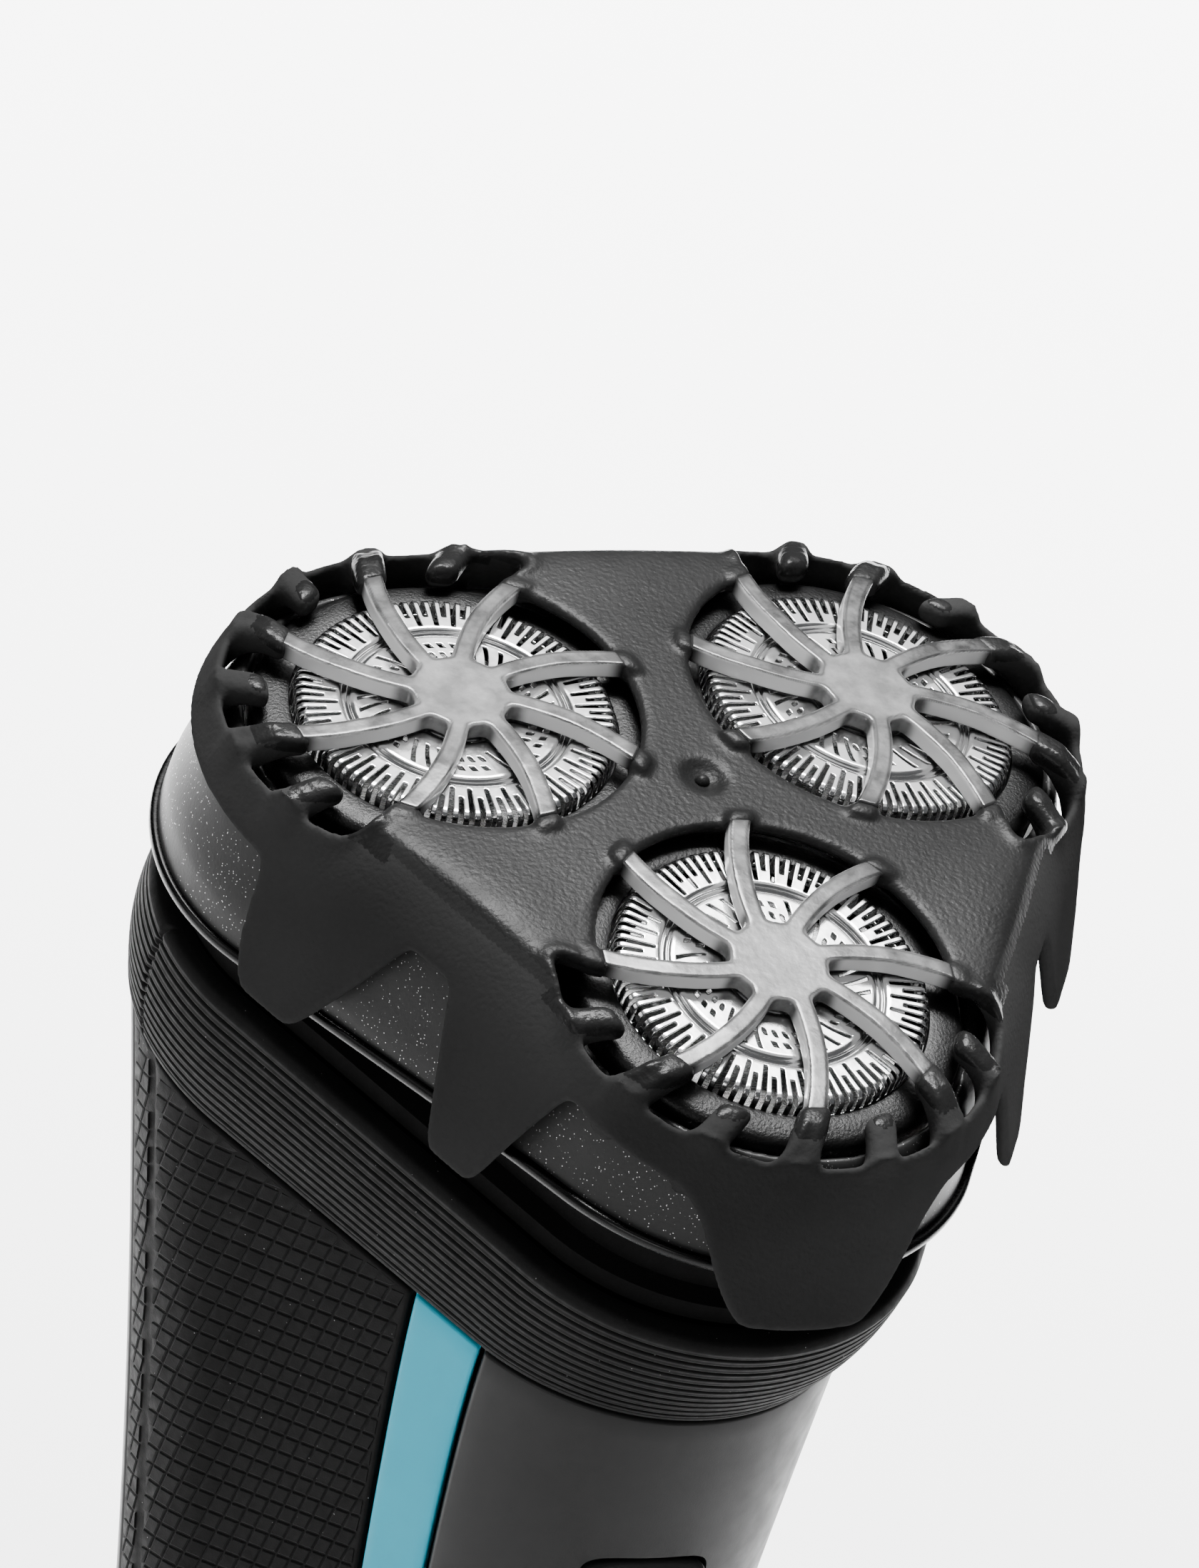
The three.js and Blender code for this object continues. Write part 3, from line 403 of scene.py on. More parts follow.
def relaxed(points, faces, rounds=2):
    """Evens out a surface by moving each point towards the middle of its neighbours."""
    starts = faces.ravel()
    ends = np.roll(faces, -1, axis=1).ravel()
    count = np.bincount(starts, minlength=len(points)) + np.bincount(ends, minlength=len(points))
    for _ in range(rounds):
        total = np.zeros_like(points)
        for axis in range(3):
            total[:, axis] = np.bincount(starts, points[ends, axis], len(points))
            total[:, axis] += np.bincount(ends, points[starts, axis], len(points))
        points = (points + total / count[:, None]) / 2
    return points


def segment_distance(x, y, start, end):
    (ax, ay), (ex, ey) = start, (end[0] - start[0], end[1] - start[1])
    t = np.clip(((x - ax) * ex + (y - ay) * ey) / (ex * ex + ey * ey), 0, 1)
    return np.hypot(x - ax - t * ex, y - ay - t * ey)


def triangle_distance(x, y, lobe):
    """Signed distance to the triangle whose corners lie at distance lobe."""
    spots = [(lobe * cos(radians(d)), lobe * sin(radians(d))) for d in HEADS.values()]
    best = np.full(np.broadcast(x, y).shape, FAR, np.float32)
    for start, end in zip(spots, spots[1:] + spots[:1]):
        best = np.minimum(best, segment_distance(x, y, start, end))
    walls = [-(x * cos(a) + y * sin(a)) for a in (radians(d) for d in HEADS.values())]
    inside = largest(walls) < lobe / 2
    return np.where(inside, -best, best)


def spline(stops, per_span=12):
    """A smooth line through stops, as points."""
    stops = np.asarray(stops, float)
    padded = np.concatenate([[2 * stops[0] - stops[1]], stops, [2 * stops[-1] - stops[-2]]])
    made = []
    for n in range(len(stops) - 1):
        a, b, c, d = padded[n:n + 4]
        t = np.linspace(0, 1, per_span, endpoint=False)[:, None]
        made.append(0.5 * (2 * b + (c - a) * t + (2 * a - 5 * b + 4 * c - d) * t ** 2
                           + (3 * b - a - 3 * c + d) * t ** 3))
    return np.concatenate([*made, stops[-1:]])


def profile_distance(line):
    """A table of signed distance to a falling line of distance out and height."""
    low, high, step = np.array([-12.0, -24.0]), np.array([26.0, 8.0]), 0.1
    across, up = (np.arange(a, b, step) for a, b in zip(low, high))
    c, z = np.meshgrid(across, up, indexing="ij")
    best = np.full(c.shape, FAR)
    for start, end in zip(line[:-1], line[1:]):
        best = np.minimum(best, segment_distance(c, z, start, end))
    inside = (c < line[-1][0]) & (z < np.interp(c, line[:, 0], line[:, 1]))
    table = np.where(inside, -best, best).astype(np.float32)

    def look_up(c, z):
        u = np.clip((c - low[0]) / step, 0, len(across) - 1.001)
        v = np.clip((z - low[1]) / step, 0, len(up) - 1.001)
        i, j = u.astype(np.int32), v.astype(np.int32)
        u, v = u - i, v - j
        near = table[i, j] * (1 - v) + table[i, j + 1] * v
        far = table[i + 1, j] * (1 - v) + table[i + 1, j + 1] * v
        return near * (1 - u) + far * u

    return look_up


def shell_grid(low, high, step, lobe):
    """A grid of points over a shell: its axes, x, y and z, and each column's place in plan."""
    axes = lattice(low, high, step)
    x, y = np.meshgrid(axes[0], axes[1], indexing="ij")
    z = axes[2][None, None, :]
    return axes, x, y, z, np.arctan2(y, x), triangle_distance(x, y, lobe)


def thin_shell(line, c, z, fall, wall, soft):
    """Distance to a wall of even thickness under a profile line that drops by fall."""
    solid = profile_distance(line)(c[..., None] + 0 * z, z + fall[..., None].astype(np.float32))
    return smooth_max(solid, -(solid + wall), soft)


# ---- the comb

# Lower edge of the comb: degrees from the front, and height.
COMB_EDGE = np.array([
    [0, -14.3], [7.2, -14.3], [10.2, -11.8], [13.8, -7.4], [17, -5.5], [33.3, -4.3],
    [38, -9.7], [41.2, -14.1], [49.2, -14.1], [54, -7.5], [57.1, -3.6], [65.8, -3.6],
    [69.5, -8], [75, -14.1], [83.7, -14.1], [87.1, -11], [90, -5.5], [180, -5.5],
])
COMB_LINE = spline([
    [-10, 1.96], [0, 1.84], [8, 1.58], [13.6, 1.28], [15.3, 0.3], [16.8, -1.8], [17.8, -4.2],
    [18.75, -7.6], [19.6, -10.9], [COMB_CORNER, -14.3], [COMB_CORNER + 2.5, -24.0],
])
# Top lines of the parts over a foil: distance from its axis, and height.
ARM_TOP = np.array([[0.0, 1.66], [4.5, 1.68], [8, 1.64], [11, 1.42], [13.2, 1.3]])
ARM_OUTBOARD = np.array([
    [11.0, 1.45], [12.3, 1.33], [14.3, 0.98], [15.4, 0.4], [16.3, -0.6], [16.8, -2.0], [17.0, -3.2],
])
CAP = np.array([[12.0, 1.18], [12.8, 1.26], [13.5, 1.18], [14.2, 0.95]])
FINGER = np.array([
    [12.4, 0.7], [13.4, 1.0], [14.3, 0.94], [15.4, 0.45], [16.3, -0.6], [16.8, -2.0], [17.0, -3.2],
])
RIM_RISE = 0.34
# Heights below which the shell turns to darker copies of its plastic, which reflect less or not
# at all and carry a lighter tone as painted sheen in place of it; hooks keep the top's down to
# HOOK_FOOT.
SKIRT_STEPS = {"smoked_shoulder": 0.75, "smoked_skirt": 0.1}
HOOK_FOOT = -0.5
DIMPLE_RISE = 3.7
DIMPLE_RADIUS = 2.45
COMB_STEP = 0.25
SPIDER_STEP = 0.12


def comb_edge(angle):
    """Height and slope of the comb's rounded lower edge."""
    turn = np.radians(np.arange(-180, 180, 0.1))
    away = np.degrees(np.abs(np.arctan2(np.sin(turn), np.cos(turn))))
    height = np.interp(away, COMB_EDGE[:, 0], COMB_EDGE[:, 1])
    kernel = np.exp(-(np.arange(-30, 31) / 11.0) ** 2)
    padded = np.concatenate([height[-30:], height, height[:30]])
    height = np.convolve(padded, kernel / kernel.sum(), "valid")
    slope = np.gradient(height, 0.1 * pi / 180 * (COMB_LOBE + COMB_CORNER) * 0.92)
    from_front = np.arctan2(np.cos(angle), -np.sin(angle))
    return np.interp(from_front, turn, height), np.interp(from_front, turn, slope)


def swirl(r, turn, middle):
    """Angle away from a line that swirls like the arms and passes the opening at middle."""
    away = turn - (COMB_OPENING - r) * ARM_SWIRL - middle
    return np.arctan2(np.sin(away), np.cos(away))


def off_line(r, turn, middle):
    """Distance in plan to such a line, on its own half of the foil."""
    away = np.clip(np.abs(swirl(r, turn, middle)), 0, pi / 2)
    lean = 1 / np.sqrt(1 + (r * ARM_SWIRL) ** 2)
    return r * np.sin(away) * lean


def strand(r, turn, z, first, stops, width, depth, radius, reach):
    """Distance to one swirling arm or finger in a foil's frame."""
    fine = np.linspace(stops[0, 0], stops[-1, 0], 60)
    height = np.interp(fine, stops[:, 0], stops[:, 1])
    soft = np.convolve(np.pad(height, 4, mode="edge"), np.full(9, 1 / 9), "valid")
    slope = np.interp(r, fine, np.gradient(soft, fine))
    level = (np.interp(r, fine, soft) - depth / 2 - z) / np.sqrt(1 + slope ** 2)
    ends = np.maximum(r - reach[1], reach[0] - r)
    side = off_line(r, turn, first) - width / 2
    return rounded_box([side, np.abs(level) - depth / 2, ends], radius)


def guard_distance(shell, x, y, z):
    """Adds to a shell's distances the opening, windows and fingers over one foil."""
    r, turn = np.hypot(x, y), np.arctan2(y, x)
    shell = smooth_max(shell, COMB_OPENING - r, 0.9)
    rim = np.full_like(shell, FAR)
    low, high = COMB_OPENING - 2, COMB_WINDOW
    radial = np.abs(r - (low + high) / 2) - (high - low) / 2
    half = r * pi / ARM_COUNT - ARM_WIDTH / 2 - 0.3
    for n in range(ARM_COUNT // 2):
        away = swirl(r, turn, ARM_FIRST + (n + 0.5) * 2 * pi / ARM_COUNT)
        rim = np.minimum(rim, rounded_box([radial, np.abs(r * away) - half], 1.1))
    lip = RIM_RISE * np.exp(-((rim - 0.35) / 0.55) ** 2) * smoothstep(r, 13.2, 14.6)
    shell = smooth_max(shell - lip, -rim, 0.8)
    for n in range(ARM_COUNT):
        first = ARM_FIRST + n * 2 * pi / ARM_COUNT
        if 0 < n < ARM_COUNT // 2:
            arm = strand(r, turn, z, first, ARM_OUTBOARD, 2.0, 1.5, 0.5, (12.2, 17.1))
            shell = smooth_min(shell, arm, 0.8)
        else:
            cap = strand(r, turn, z, first, CAP, 1.8, 1.4, 0.4, (12.35, 13.8))
            shell = smooth_min(shell, cap, 0.45)
        if n < ARM_COUNT // 2:
            between = first + pi / ARM_COUNT
            finger = strand(r, turn, z, between, FINGER, 2.2, 1.8, 0.75, (13.0, 17.1))
            shell = smooth_min(shell, finger, 0.7)
    return shell


def arms_plan(x, y):
    """Distance in plan to the hub and its eight swirling arms."""
    r, turn = np.hypot(x, y), np.arctan2(y, x)
    plan = r - HUB_RADIUS
    for n in range(ARM_COUNT):
        side = off_line(r, turn, ARM_FIRST + n * 2 * pi / ARM_COUNT) - ARM_WIDTH / 2
        plan = smooth_min(plan, np.maximum(side, r - ARM_REACH), 0.5)
    return plan


def spider_surface():
    """The eight flat-topped arms and their hub over one foil, in the foil's frame."""
    low = np.array([-13.2, -13.2, -0.6])
    axes = lattice(low, (13.2, 13.2, 2.3), SPIDER_STEP)
    x, y = np.meshgrid(axes[0], axes[1], indexing="ij")
    top = np.interp(np.hypot(x, y), ARM_TOP[:, 0], ARM_TOP[:, 1])[..., None]
    middle = top - ARM_DEPTH / 2 - axes[2][None, None, :]
    plan = arms_plan(x, y)[..., None] + 0 * middle
    shell = rounded_box([plan, np.abs(middle) - ARM_DEPTH / 2], 0.2)
    points, faces = nets(shell.astype(np.float32), low, SPIDER_STEP)
    return relaxed(points, faces, 1), faces


def within(matrix, x, y, z):
    """Coordinates of grid points in another frame, given the matrix from it to the grid's."""
    back = np.array(matrix.inverted(), np.float32)
    return [back[n, 0] * x + back[n, 1] * y + back[n, 2] * z + back[n, 3] for n in range(3)]


def comb_surface():
    low = np.array([-37.4, -38.2, -15.2])
    axes, x, y, z, angle, c = shell_grid(low, (37.4, 31.5, 3.0), COMB_STEP, COMB_LOBE)
    reach = np.hypot(x, y)
    inner, outer = outline(angle, COMB_LOBE / 2, COMB_LOBE / 3), outline(angle, COMB_LOBE, 13.6)
    share = np.clip((reach - inner) / (outer - inner), 0, 1)
    fall = np.interp(c, [13.6, 15.6, 16.9, 17.7], [1.3, 0.9, 0.4, 0.0])
    fall = fall * cornerness(angle) * share * share * (3 - 2 * share)
    height, slope = comb_edge(angle)
    shell = thin_shell(COMB_LINE, c, z, fall, COMB_WALL, 0.5)
    foot = (height[..., None] - z) / np.sqrt(1 + slope[..., None] ** 2)
    shell = smooth_max(shell, foot, 0.6).astype(np.float32)
    dimple = sqrt_sum([reach[..., None] + 0 * z, z - DIMPLE_RISE]) - DIMPLE_RADIUS
    shell = smooth_max(shell, -dimple, 0.35).astype(np.float32)
    reach_out = COMB_WINDOW + 3
    for matrix in FOILS.values():
        spot = matrix.translation
        parts = [slice(*np.searchsorted(axis, (spot[n] - reach_out, spot[n] + reach_out)))
                 for n, axis in enumerate(axes[:2])]
        block = (parts[0], parts[1], slice(None))
        local = within(matrix, x[parts[0], parts[1], None], y[parts[0], parts[1], None], z)
        shell[block] = guard_distance(shell[block], *[v.astype(np.float32) for v in local])
    points, faces = nets(shell, low, COMB_STEP)
    return relaxed(points, faces), faces


# ---- the head casing

CASE_LINE = spline([
    [-10, -0.65], [0, -0.95], [7, -1.4], [12.6, -2.05], [13.9, -2.35], [14.7, -3.0],
    [15.3, -4.2], [15.85, -6.2], [16.4, -8.8], [16.9, -11.4], [CASE_CORNER, -13.5],
    [CASE_CORNER + 0.001, -24.0],
])
CASE_STEP = 0.3


def case_edge(angle):
    """The casing's lower edge rises from the back towards the front."""
    y = outline(angle, LOBE, CASE_CORNER) * np.sin(angle)
    return CASE_EDGE_FRONT + smoothstep(y, -32, 9) * (CASE_EDGE_BACK - CASE_EDGE_FRONT)


def casing_surface():
    low = np.array([-35.0, -35.0, -20.6])
    _, x, y, z, angle, c = shell_grid(low, (35.0, 27.5, 0.6), CASE_STEP, LOBE)
    fall = np.interp(c, [0, 12.6, 14.7, 15.6], [0.0, 0.8, 0.3, 0.0]) * cornerness(angle)
    shell = thin_shell(CASE_LINE, c, z, fall, WALL, 0.3)
    shell = smooth_max(shell, case_edge(angle)[..., None] - z, 0.4).astype(np.float32)
    for matrix in FOILS.values():
        u, v, w = within(matrix, x[..., None], y[..., None], z)
        hole = smooth_max(np.hypot(u, v) - FOIL_HOLE, -6.6 - w, 0.3)
        shell = smooth_max(shell, -hole, 0.4).astype(np.float32)
    across = np.abs(x)[..., None] + 0 * z
    back, up = y[..., None] - HINGE_Y + 0 * z, z - HINGE_Z
    room = largest([across - 5.3, np.abs(back - 1.5) - 2.5, np.abs(up - 1.4) - 1.4])
    shell = np.maximum(shell, -room)
    beside = np.abs(across - 7.15) - 1.85
    eye = smooth_max(np.hypot(back, up) - HINGE_EYE, beside, 0.3)
    tongue = rounded_box([beside, np.abs(back - 0.25) - 1.15, np.abs(up - 3) - 2], 0.3)
    shell = smooth_min(shell, smooth_min(eye, tongue, 0.5), 0.5)
    reach = np.hypot(x, y)[..., None] + 0 * z
    post = smooth_max(reach - 2.2, np.abs(z + 5.5) - 3.9, 0.3)
    shell = smooth_min(shell, post, 0.6)
    bore = np.hypot(back, up) - HINGE_PIN - GAP
    shell = np.maximum(shell, -np.maximum(bore, across - 10))
    points, faces = nets(shell.astype(np.float32), low, CASE_STEP)
    return relaxed(points, faces), faces


# ---- foils and bezels

COLUMNS = 720
SLOTS = 90
SECTORS = 12
HOLE_RADIUS = 0.25
FOIL_SHEET = 0.16


def foil_rows():
    """Radius and height of the foil's surface, from its middle to its flange."""
    cap = [(0.01, 0), (1.0, 0), (2.0, -0.01), (2.8, -0.03), (3.05, -0.07), (3.15, -0.2),
           (3.3, -0.26), (3.45, -0.2), (3.55, -0.07), (3.7, -0.02), (4.0, 0), (4.3, 0)]
    inner = [(r, 0) for r in np.arange(4.45, 7.1, 0.1)]
    groove = [(7.22, -0.03), (7.3, -0.14), (7.38, -0.32), (7.46, -0.32), (7.53, -0.12),
              (7.62, -0.06), (7.71, -0.12), (7.78, -0.34), (7.88, -0.34), (7.96, -0.16),
              (8.05, -0.03)]
    outer = [(r, 0) for r in np.arange(8.2, 10.5, 0.15)]
    rim = [(10.6, -0.01), (10.74, -0.05), (10.86, -0.13), (10.95, -0.25), (11.0, -0.4)]
    wall = [(FOIL_RADIUS, z) for z in np.arange(-0.55, -2.0, -0.15)]
    flange = [(11.03, -2.08), (11.15, -2.17), (11.4, -2.2), (12.3, -2.2)]
    return np.array([*cap, *inner, *groove, *outer, *rim, *wall, *flange])


def foil_surface():
    """The foil's sheet: a polar grid with the cells of its slots and holes left out."""
    rows = foil_rows()
    slant = radians(11) * (np.clip(rows[:, 0], 4.45, 7.05) - 4.45) / 2.6
    turn = np.arange(COLUMNS) * 2 * pi / COLUMNS + slant[:, None]
    points = polar(rows[:, :1], turn, rows[:, 1:]).reshape(-1, 3)
    faces = grid_faces(len(rows), COLUMNS, wrap=True)
    radius = np.repeat((rows[:-1, 0] + rows[1:, 0]) / 2, COLUMNS)
    height = np.repeat((rows[:-1, 1] + rows[1:, 1]) / 2, COLUMNS)
    column = np.tile(np.arange(COLUMNS) + 0.5, len(rows) - 1)
    pitch = COLUMNS // SLOTS
    start = np.where((column // pitch) % 2 < 1, 8.3, 9.2)
    slots = (column % pitch < pitch / 2) & (radius > start) & (height > -1.35)
    dots = (column % pitch > 1) & (column % pitch < 3) & (height < -1.55) & (height > -1.8)
    sector, place = column // (COLUMNS / SECTORS), column % (COLUMNS / SECTORS)
    slits = np.abs((place - 2) % 20 - 10) < 2.6
    slits &= (sector % 2 < 1) & (radius > 4.7) & (radius < 6.85) & (place > 2)
    lane = np.floor((place - 2) / 8)
    over = np.radians((place - 6 - 8 * lane) * 360 / COLUMNS) * radius
    holes = np.hypot(over, radius - np.where(lane % 2 < 1, 5.3, 6.25)) < HOLE_RADIUS
    holes &= (sector % 2 > 0.5) & (lane >= 0) & (lane < 7) & (radius < 7)
    return points, faces[~(slots | dots | slits | holes)]


BEZEL_LINE = [
    [11.35, -1.05], [11.42, -0.94], [11.6, -0.9], [12.4, -0.93], [13.2, -1.02], [13.6, -1.15],
    [13.87, -1.4], [BEZEL_RADIUS, -1.75], [BEZEL_RADIUS, -4.3], [12.7, -4.3], [12.7, -1.9],
    [11.35, -1.9],
]

# ---- neck and collar

NECK_WALL = 1.0
NECK_LEVELS = [
    [16.5, 14.2, -10, 0], [16.5, 14.2, -16.6, 0], [16.4, 15.4, -17.4, 0.1],
    [16.4, 15.4, -18.8, 0.1], [16.3, 13.9, -19.4, 0.2], [BODY_LOBE, 14.3, -30.8, HEAD_SHIFT],
]
SCREW_RING = 11.5
LOOP = 288


def across_hinge(name, radius, half):
    """A rod along the hinge's axis, in the head's frame."""
    turn = Matrix.Translation((0, HINGE_Y, HINGE_Z)) @ Matrix.Rotation(pi / 2, 4, "Y")
    return rod(name, radius, -half, half, HEAD @ turn)


def hinge_notch(half, behind, below):
    """The room left for the hinge's eyes at the back."""
    low = HINGE_Y - HINGE_EYE - behind
    return box("notch", (-half, half), (low, 30), (HINGE_Z - below, 0), HEAD)


def neck():
    angles = around(LOOP)
    rings = [ring(angles, lobe, corner, z, shift) for lobe, corner, z, shift in NECK_LEVELS]
    inner = [NECK_LEVELS[5], NECK_LEVELS[4], NECK_LEVELS[0]]
    rings += [ring(angles, lobe, corner - NECK_WALL, z, shift) for lobe, corner, z, shift in inner]
    shell = loft("neck", rings, HEAD, closed=True)
    floor = loft("floor", [ring(angles, 16.4, 13.4, z) for z in (-19.6, -18.4)], HEAD)
    boolean(shell, floor, operation="UNION")
    boolean(shell, hinge_notch(9.5, 0.9, 2.8))
    root = box("root", (-5, 5), (HINGE_Y - 5, HINGE_Y), (HINGE_Z - 2.2, HINGE_Z - 0.4), HEAD)
    boolean(shell, root, across_hinge("knuckle", HINGE_EYE, 5), operation="UNION")
    spots = [(LOBE, degrees, 1.9) for degrees in HEADS.values()]
    spots += [(SCREW_RING, degrees, 1.1) for degrees in (90, 210, 330)]
    bores = []
    for reach, degrees, radius in spots:
        turn = radians(degrees)
        place = Matrix.Translation((reach * cos(turn), reach * sin(turn), 0))
        bores.append(rod("bore", radius, -21, -17, HEAD @ place))
    return boolean(shell, *bores, across_hinge("pin", HINGE_PIN + GAP, 11))


SEAM_AT = radians(166)


def collar():
    """The ribbed rubber collar, with its moulded seam at the left of the back."""
    fine = np.linspace(-0.7, 0.7, 15) / 30
    angles = np.unique(np.concatenate([around(LOOP + 72), SEAM_AT + fine]))
    to_head = HEAD.inverted()
    turn = np.array(to_head.to_3x3())
    shift = np.array(to_head.translation)

    def foot(inset):
        return body_points(angles, under_collar(angles, inset, 0), inset) @ turn.T + shift

    def level(share, inset):
        depth = inset - COLLAR_BULGE * sin(share * pi)
        low, high = foot(depth - 0.2), ring(angles, 16.5, 16.9 - depth, COLLAR_TOP - 0.6)
        return low + share * (high - low)

    outer = [level(0, 0.35), level(0.006, 0.12), level(0.02, 0)]
    outer += [level(share, 0) for share in np.linspace(0.03, 0.055, 3)]
    for n in range(COLLAR_RIBS):
        for step in np.linspace(0, 1, 12, endpoint=False):
            share = 0.06 + 0.91 * (n + step) / COLLAR_RIBS
            dip = np.exp(-((step - 0.5) / 0.12) ** 2)
            outer.append(level(share, RIB_DEPTH * dip + 0.05 * (2 * step - 1) ** 2))
    outer += [level(share, 0) for share in (0.975, 0.99)]
    lip = [(16.72, -0.42), (16.6, -0.22), (16.45, -0.08), (16.2, 0)]
    outer += [ring(angles, 16.5, corner, COLLAR_TOP + drop) for corner, drop in lip]
    inner = [ring(angles, 16.4, 14.9, COLLAR_TOP - 0.2, 0.1), level(0.5, 2.1), level(0, 1.9)]
    outer = np.array(outer)
    rows = np.linspace(0, 1, len(outer))[:, None]
    zigzag = np.arcsin(np.sin(2 * pi * COLLAR_RIBS * rows)) / pi
    away = angles[None, :] - (SEAM_AT + 0.008 * (rows - 0.5) + 0.014 * zigzag)
    dent = 0.34 * np.exp(-(away / 0.0065) ** 2)
    outer[..., :2] *= (1 - dent / np.hypot(outer[..., 0], outer[..., 1]))[..., None]
    thing = loft("collar", np.concatenate([outer, inner]), HEAD, closed=True)
    return boolean(thing, hinge_notch(10, 0.6, 2.9))


# ---- the handle's panels

HEEL_TOP = HEEL_HEIGHT + GAP
ROUNDING = 0.35
# Round figures that turn a panel's angles into lengths and lay out its points.
PANEL_REACH = 24.0
PANEL_HEIGHT = 105
SEAM_REACH = 22
FIELD_MIDDLE = 65


def seam_shift(edge, z):
    """How far a strip's edge leans towards the front as it nears the collar, in radians."""
    drop = np.maximum(COLLAR_FOOT - z, 0)
    flare = 2.4 if edge < STRIP_EDGE else 1.2
    return np.radians(1.5 - 2.9 * (1 - np.exp(-drop / 16)) + flare * np.exp(-drop / 8))


def seam(degrees, z):
    """Angle of a seam between panels at a height: only the strips' own edges lean."""
    edge = abs(degrees)
    lean = 0.0 if edge > STRIP_EDGE + 1 else -np.sign(degrees) * seam_shift(edge, z)
    return radians(degrees - 90) + lean


def clustered(length, spacing):
    """Positions along a length, close together at both ends where the edge is rounded."""
    near = np.array([0, 0.04, 0.1, 0.2, ROUNDING])
    count = max(int(length / spacing), 2)
    middle = np.linspace(ROUNDING, length - ROUNDING, count + 1)[1:-1]
    return np.concatenate([near, middle, length - near[::-1]]) / length


def edge_inset(*distances):
    """How far a rounded edge falls below the surface, from the distances to the borders."""
    past = sqrt_sum([np.maximum(ROUNDING - d, 0) for d in distances])
    return ROUNDING - np.sqrt(np.maximum(ROUNDING ** 2 - np.minimum(past, ROUNDING) ** 2, 0))


def skin_reach(angle, z):
    """Distance from the handle's axis to its surface."""
    return outline(angle, BODY_LOBE * body_scale(z), BODY_CORNER * body_scale(z))


def panel_grid(first, last, u, v, inset):
    """Angles and heights of a panel's points between two seams, at shares u and v."""
    z = np.full((len(v), len(u)), 60.0)
    for _ in range(3):
        start = seam(first, z) + GAP / 2 / SEAM_REACH
        stop = seam(last, z) - GAP / 2 / SEAM_REACH
        angle = start + u[None, :] * (stop - start)
        z = HEEL_TOP + v[:, None] * (under_collar(angle, inset, GAP) - HEEL_TOP)
    return angle, z


def slab(name, outer, inner):
    """A closed sheet between an outer and an inner grid of points of the same size."""
    rows, columns = outer.shape[:2]
    count = rows * columns
    points = np.concatenate([outer.reshape(-1, 3), inner.reshape(-1, 3)])
    quads = grid_faces(rows, columns)
    border = np.concatenate([
        np.arange(columns), np.arange(1, rows) * columns + columns - 1,
        count - 2 - np.arange(columns - 1), (rows - 2 - np.arange(rows - 2)) * columns,
    ])
    after = np.roll(border, -1)
    sides = np.stack([after, border, border + count, after + count], -1)
    faces = np.concatenate([quads, quads[:, ::-1] + count, sides])
    return make(name, points, outward(points, faces))


def panel(name, first, last, across=1.0, up=1.6, well=None):
    """A panel of the skin between two seams, with rounded edges, let down by well if given."""
    u, v = clustered(radians(last - first) * PANEL_REACH, across), clustered(PANEL_HEIGHT, up)
    angle, z = panel_grid(first, last, u, v, 0)
    reach = skin_reach(angle, z)
    sides = np.minimum((angle - angle[:, :1]) * reach, (angle[:, -1:] - angle) * reach)
    ends = np.minimum(z - HEEL_TOP, z[-1:, :] - z)
    depth = well(angle, reach, np.minimum(sides, ends)) if well else 0.0
    outer = body_points(angle, z, depth + edge_inset(sides, ends))
    angle, z = panel_grid(first, last, u, v, SKIN)
    return slab(name, outer, body_points(angle, z, SKIN))


# The diamonds of the grips: raised tiles in two crossing rows of grooves. Steps from tile
# to tile on the left grip, towards the front and up.
TILE_ALONG = np.array([1.52, 0.22])
TILE_ACROSS = np.array([0.59, 1.46])
TILE_GROOVE = 0.17
TILE_BEVEL = 0.12
TILE_HEIGHT = 0.1
FIELD_MARGIN = 0.5
SPLIT_DEPTH = 0.2


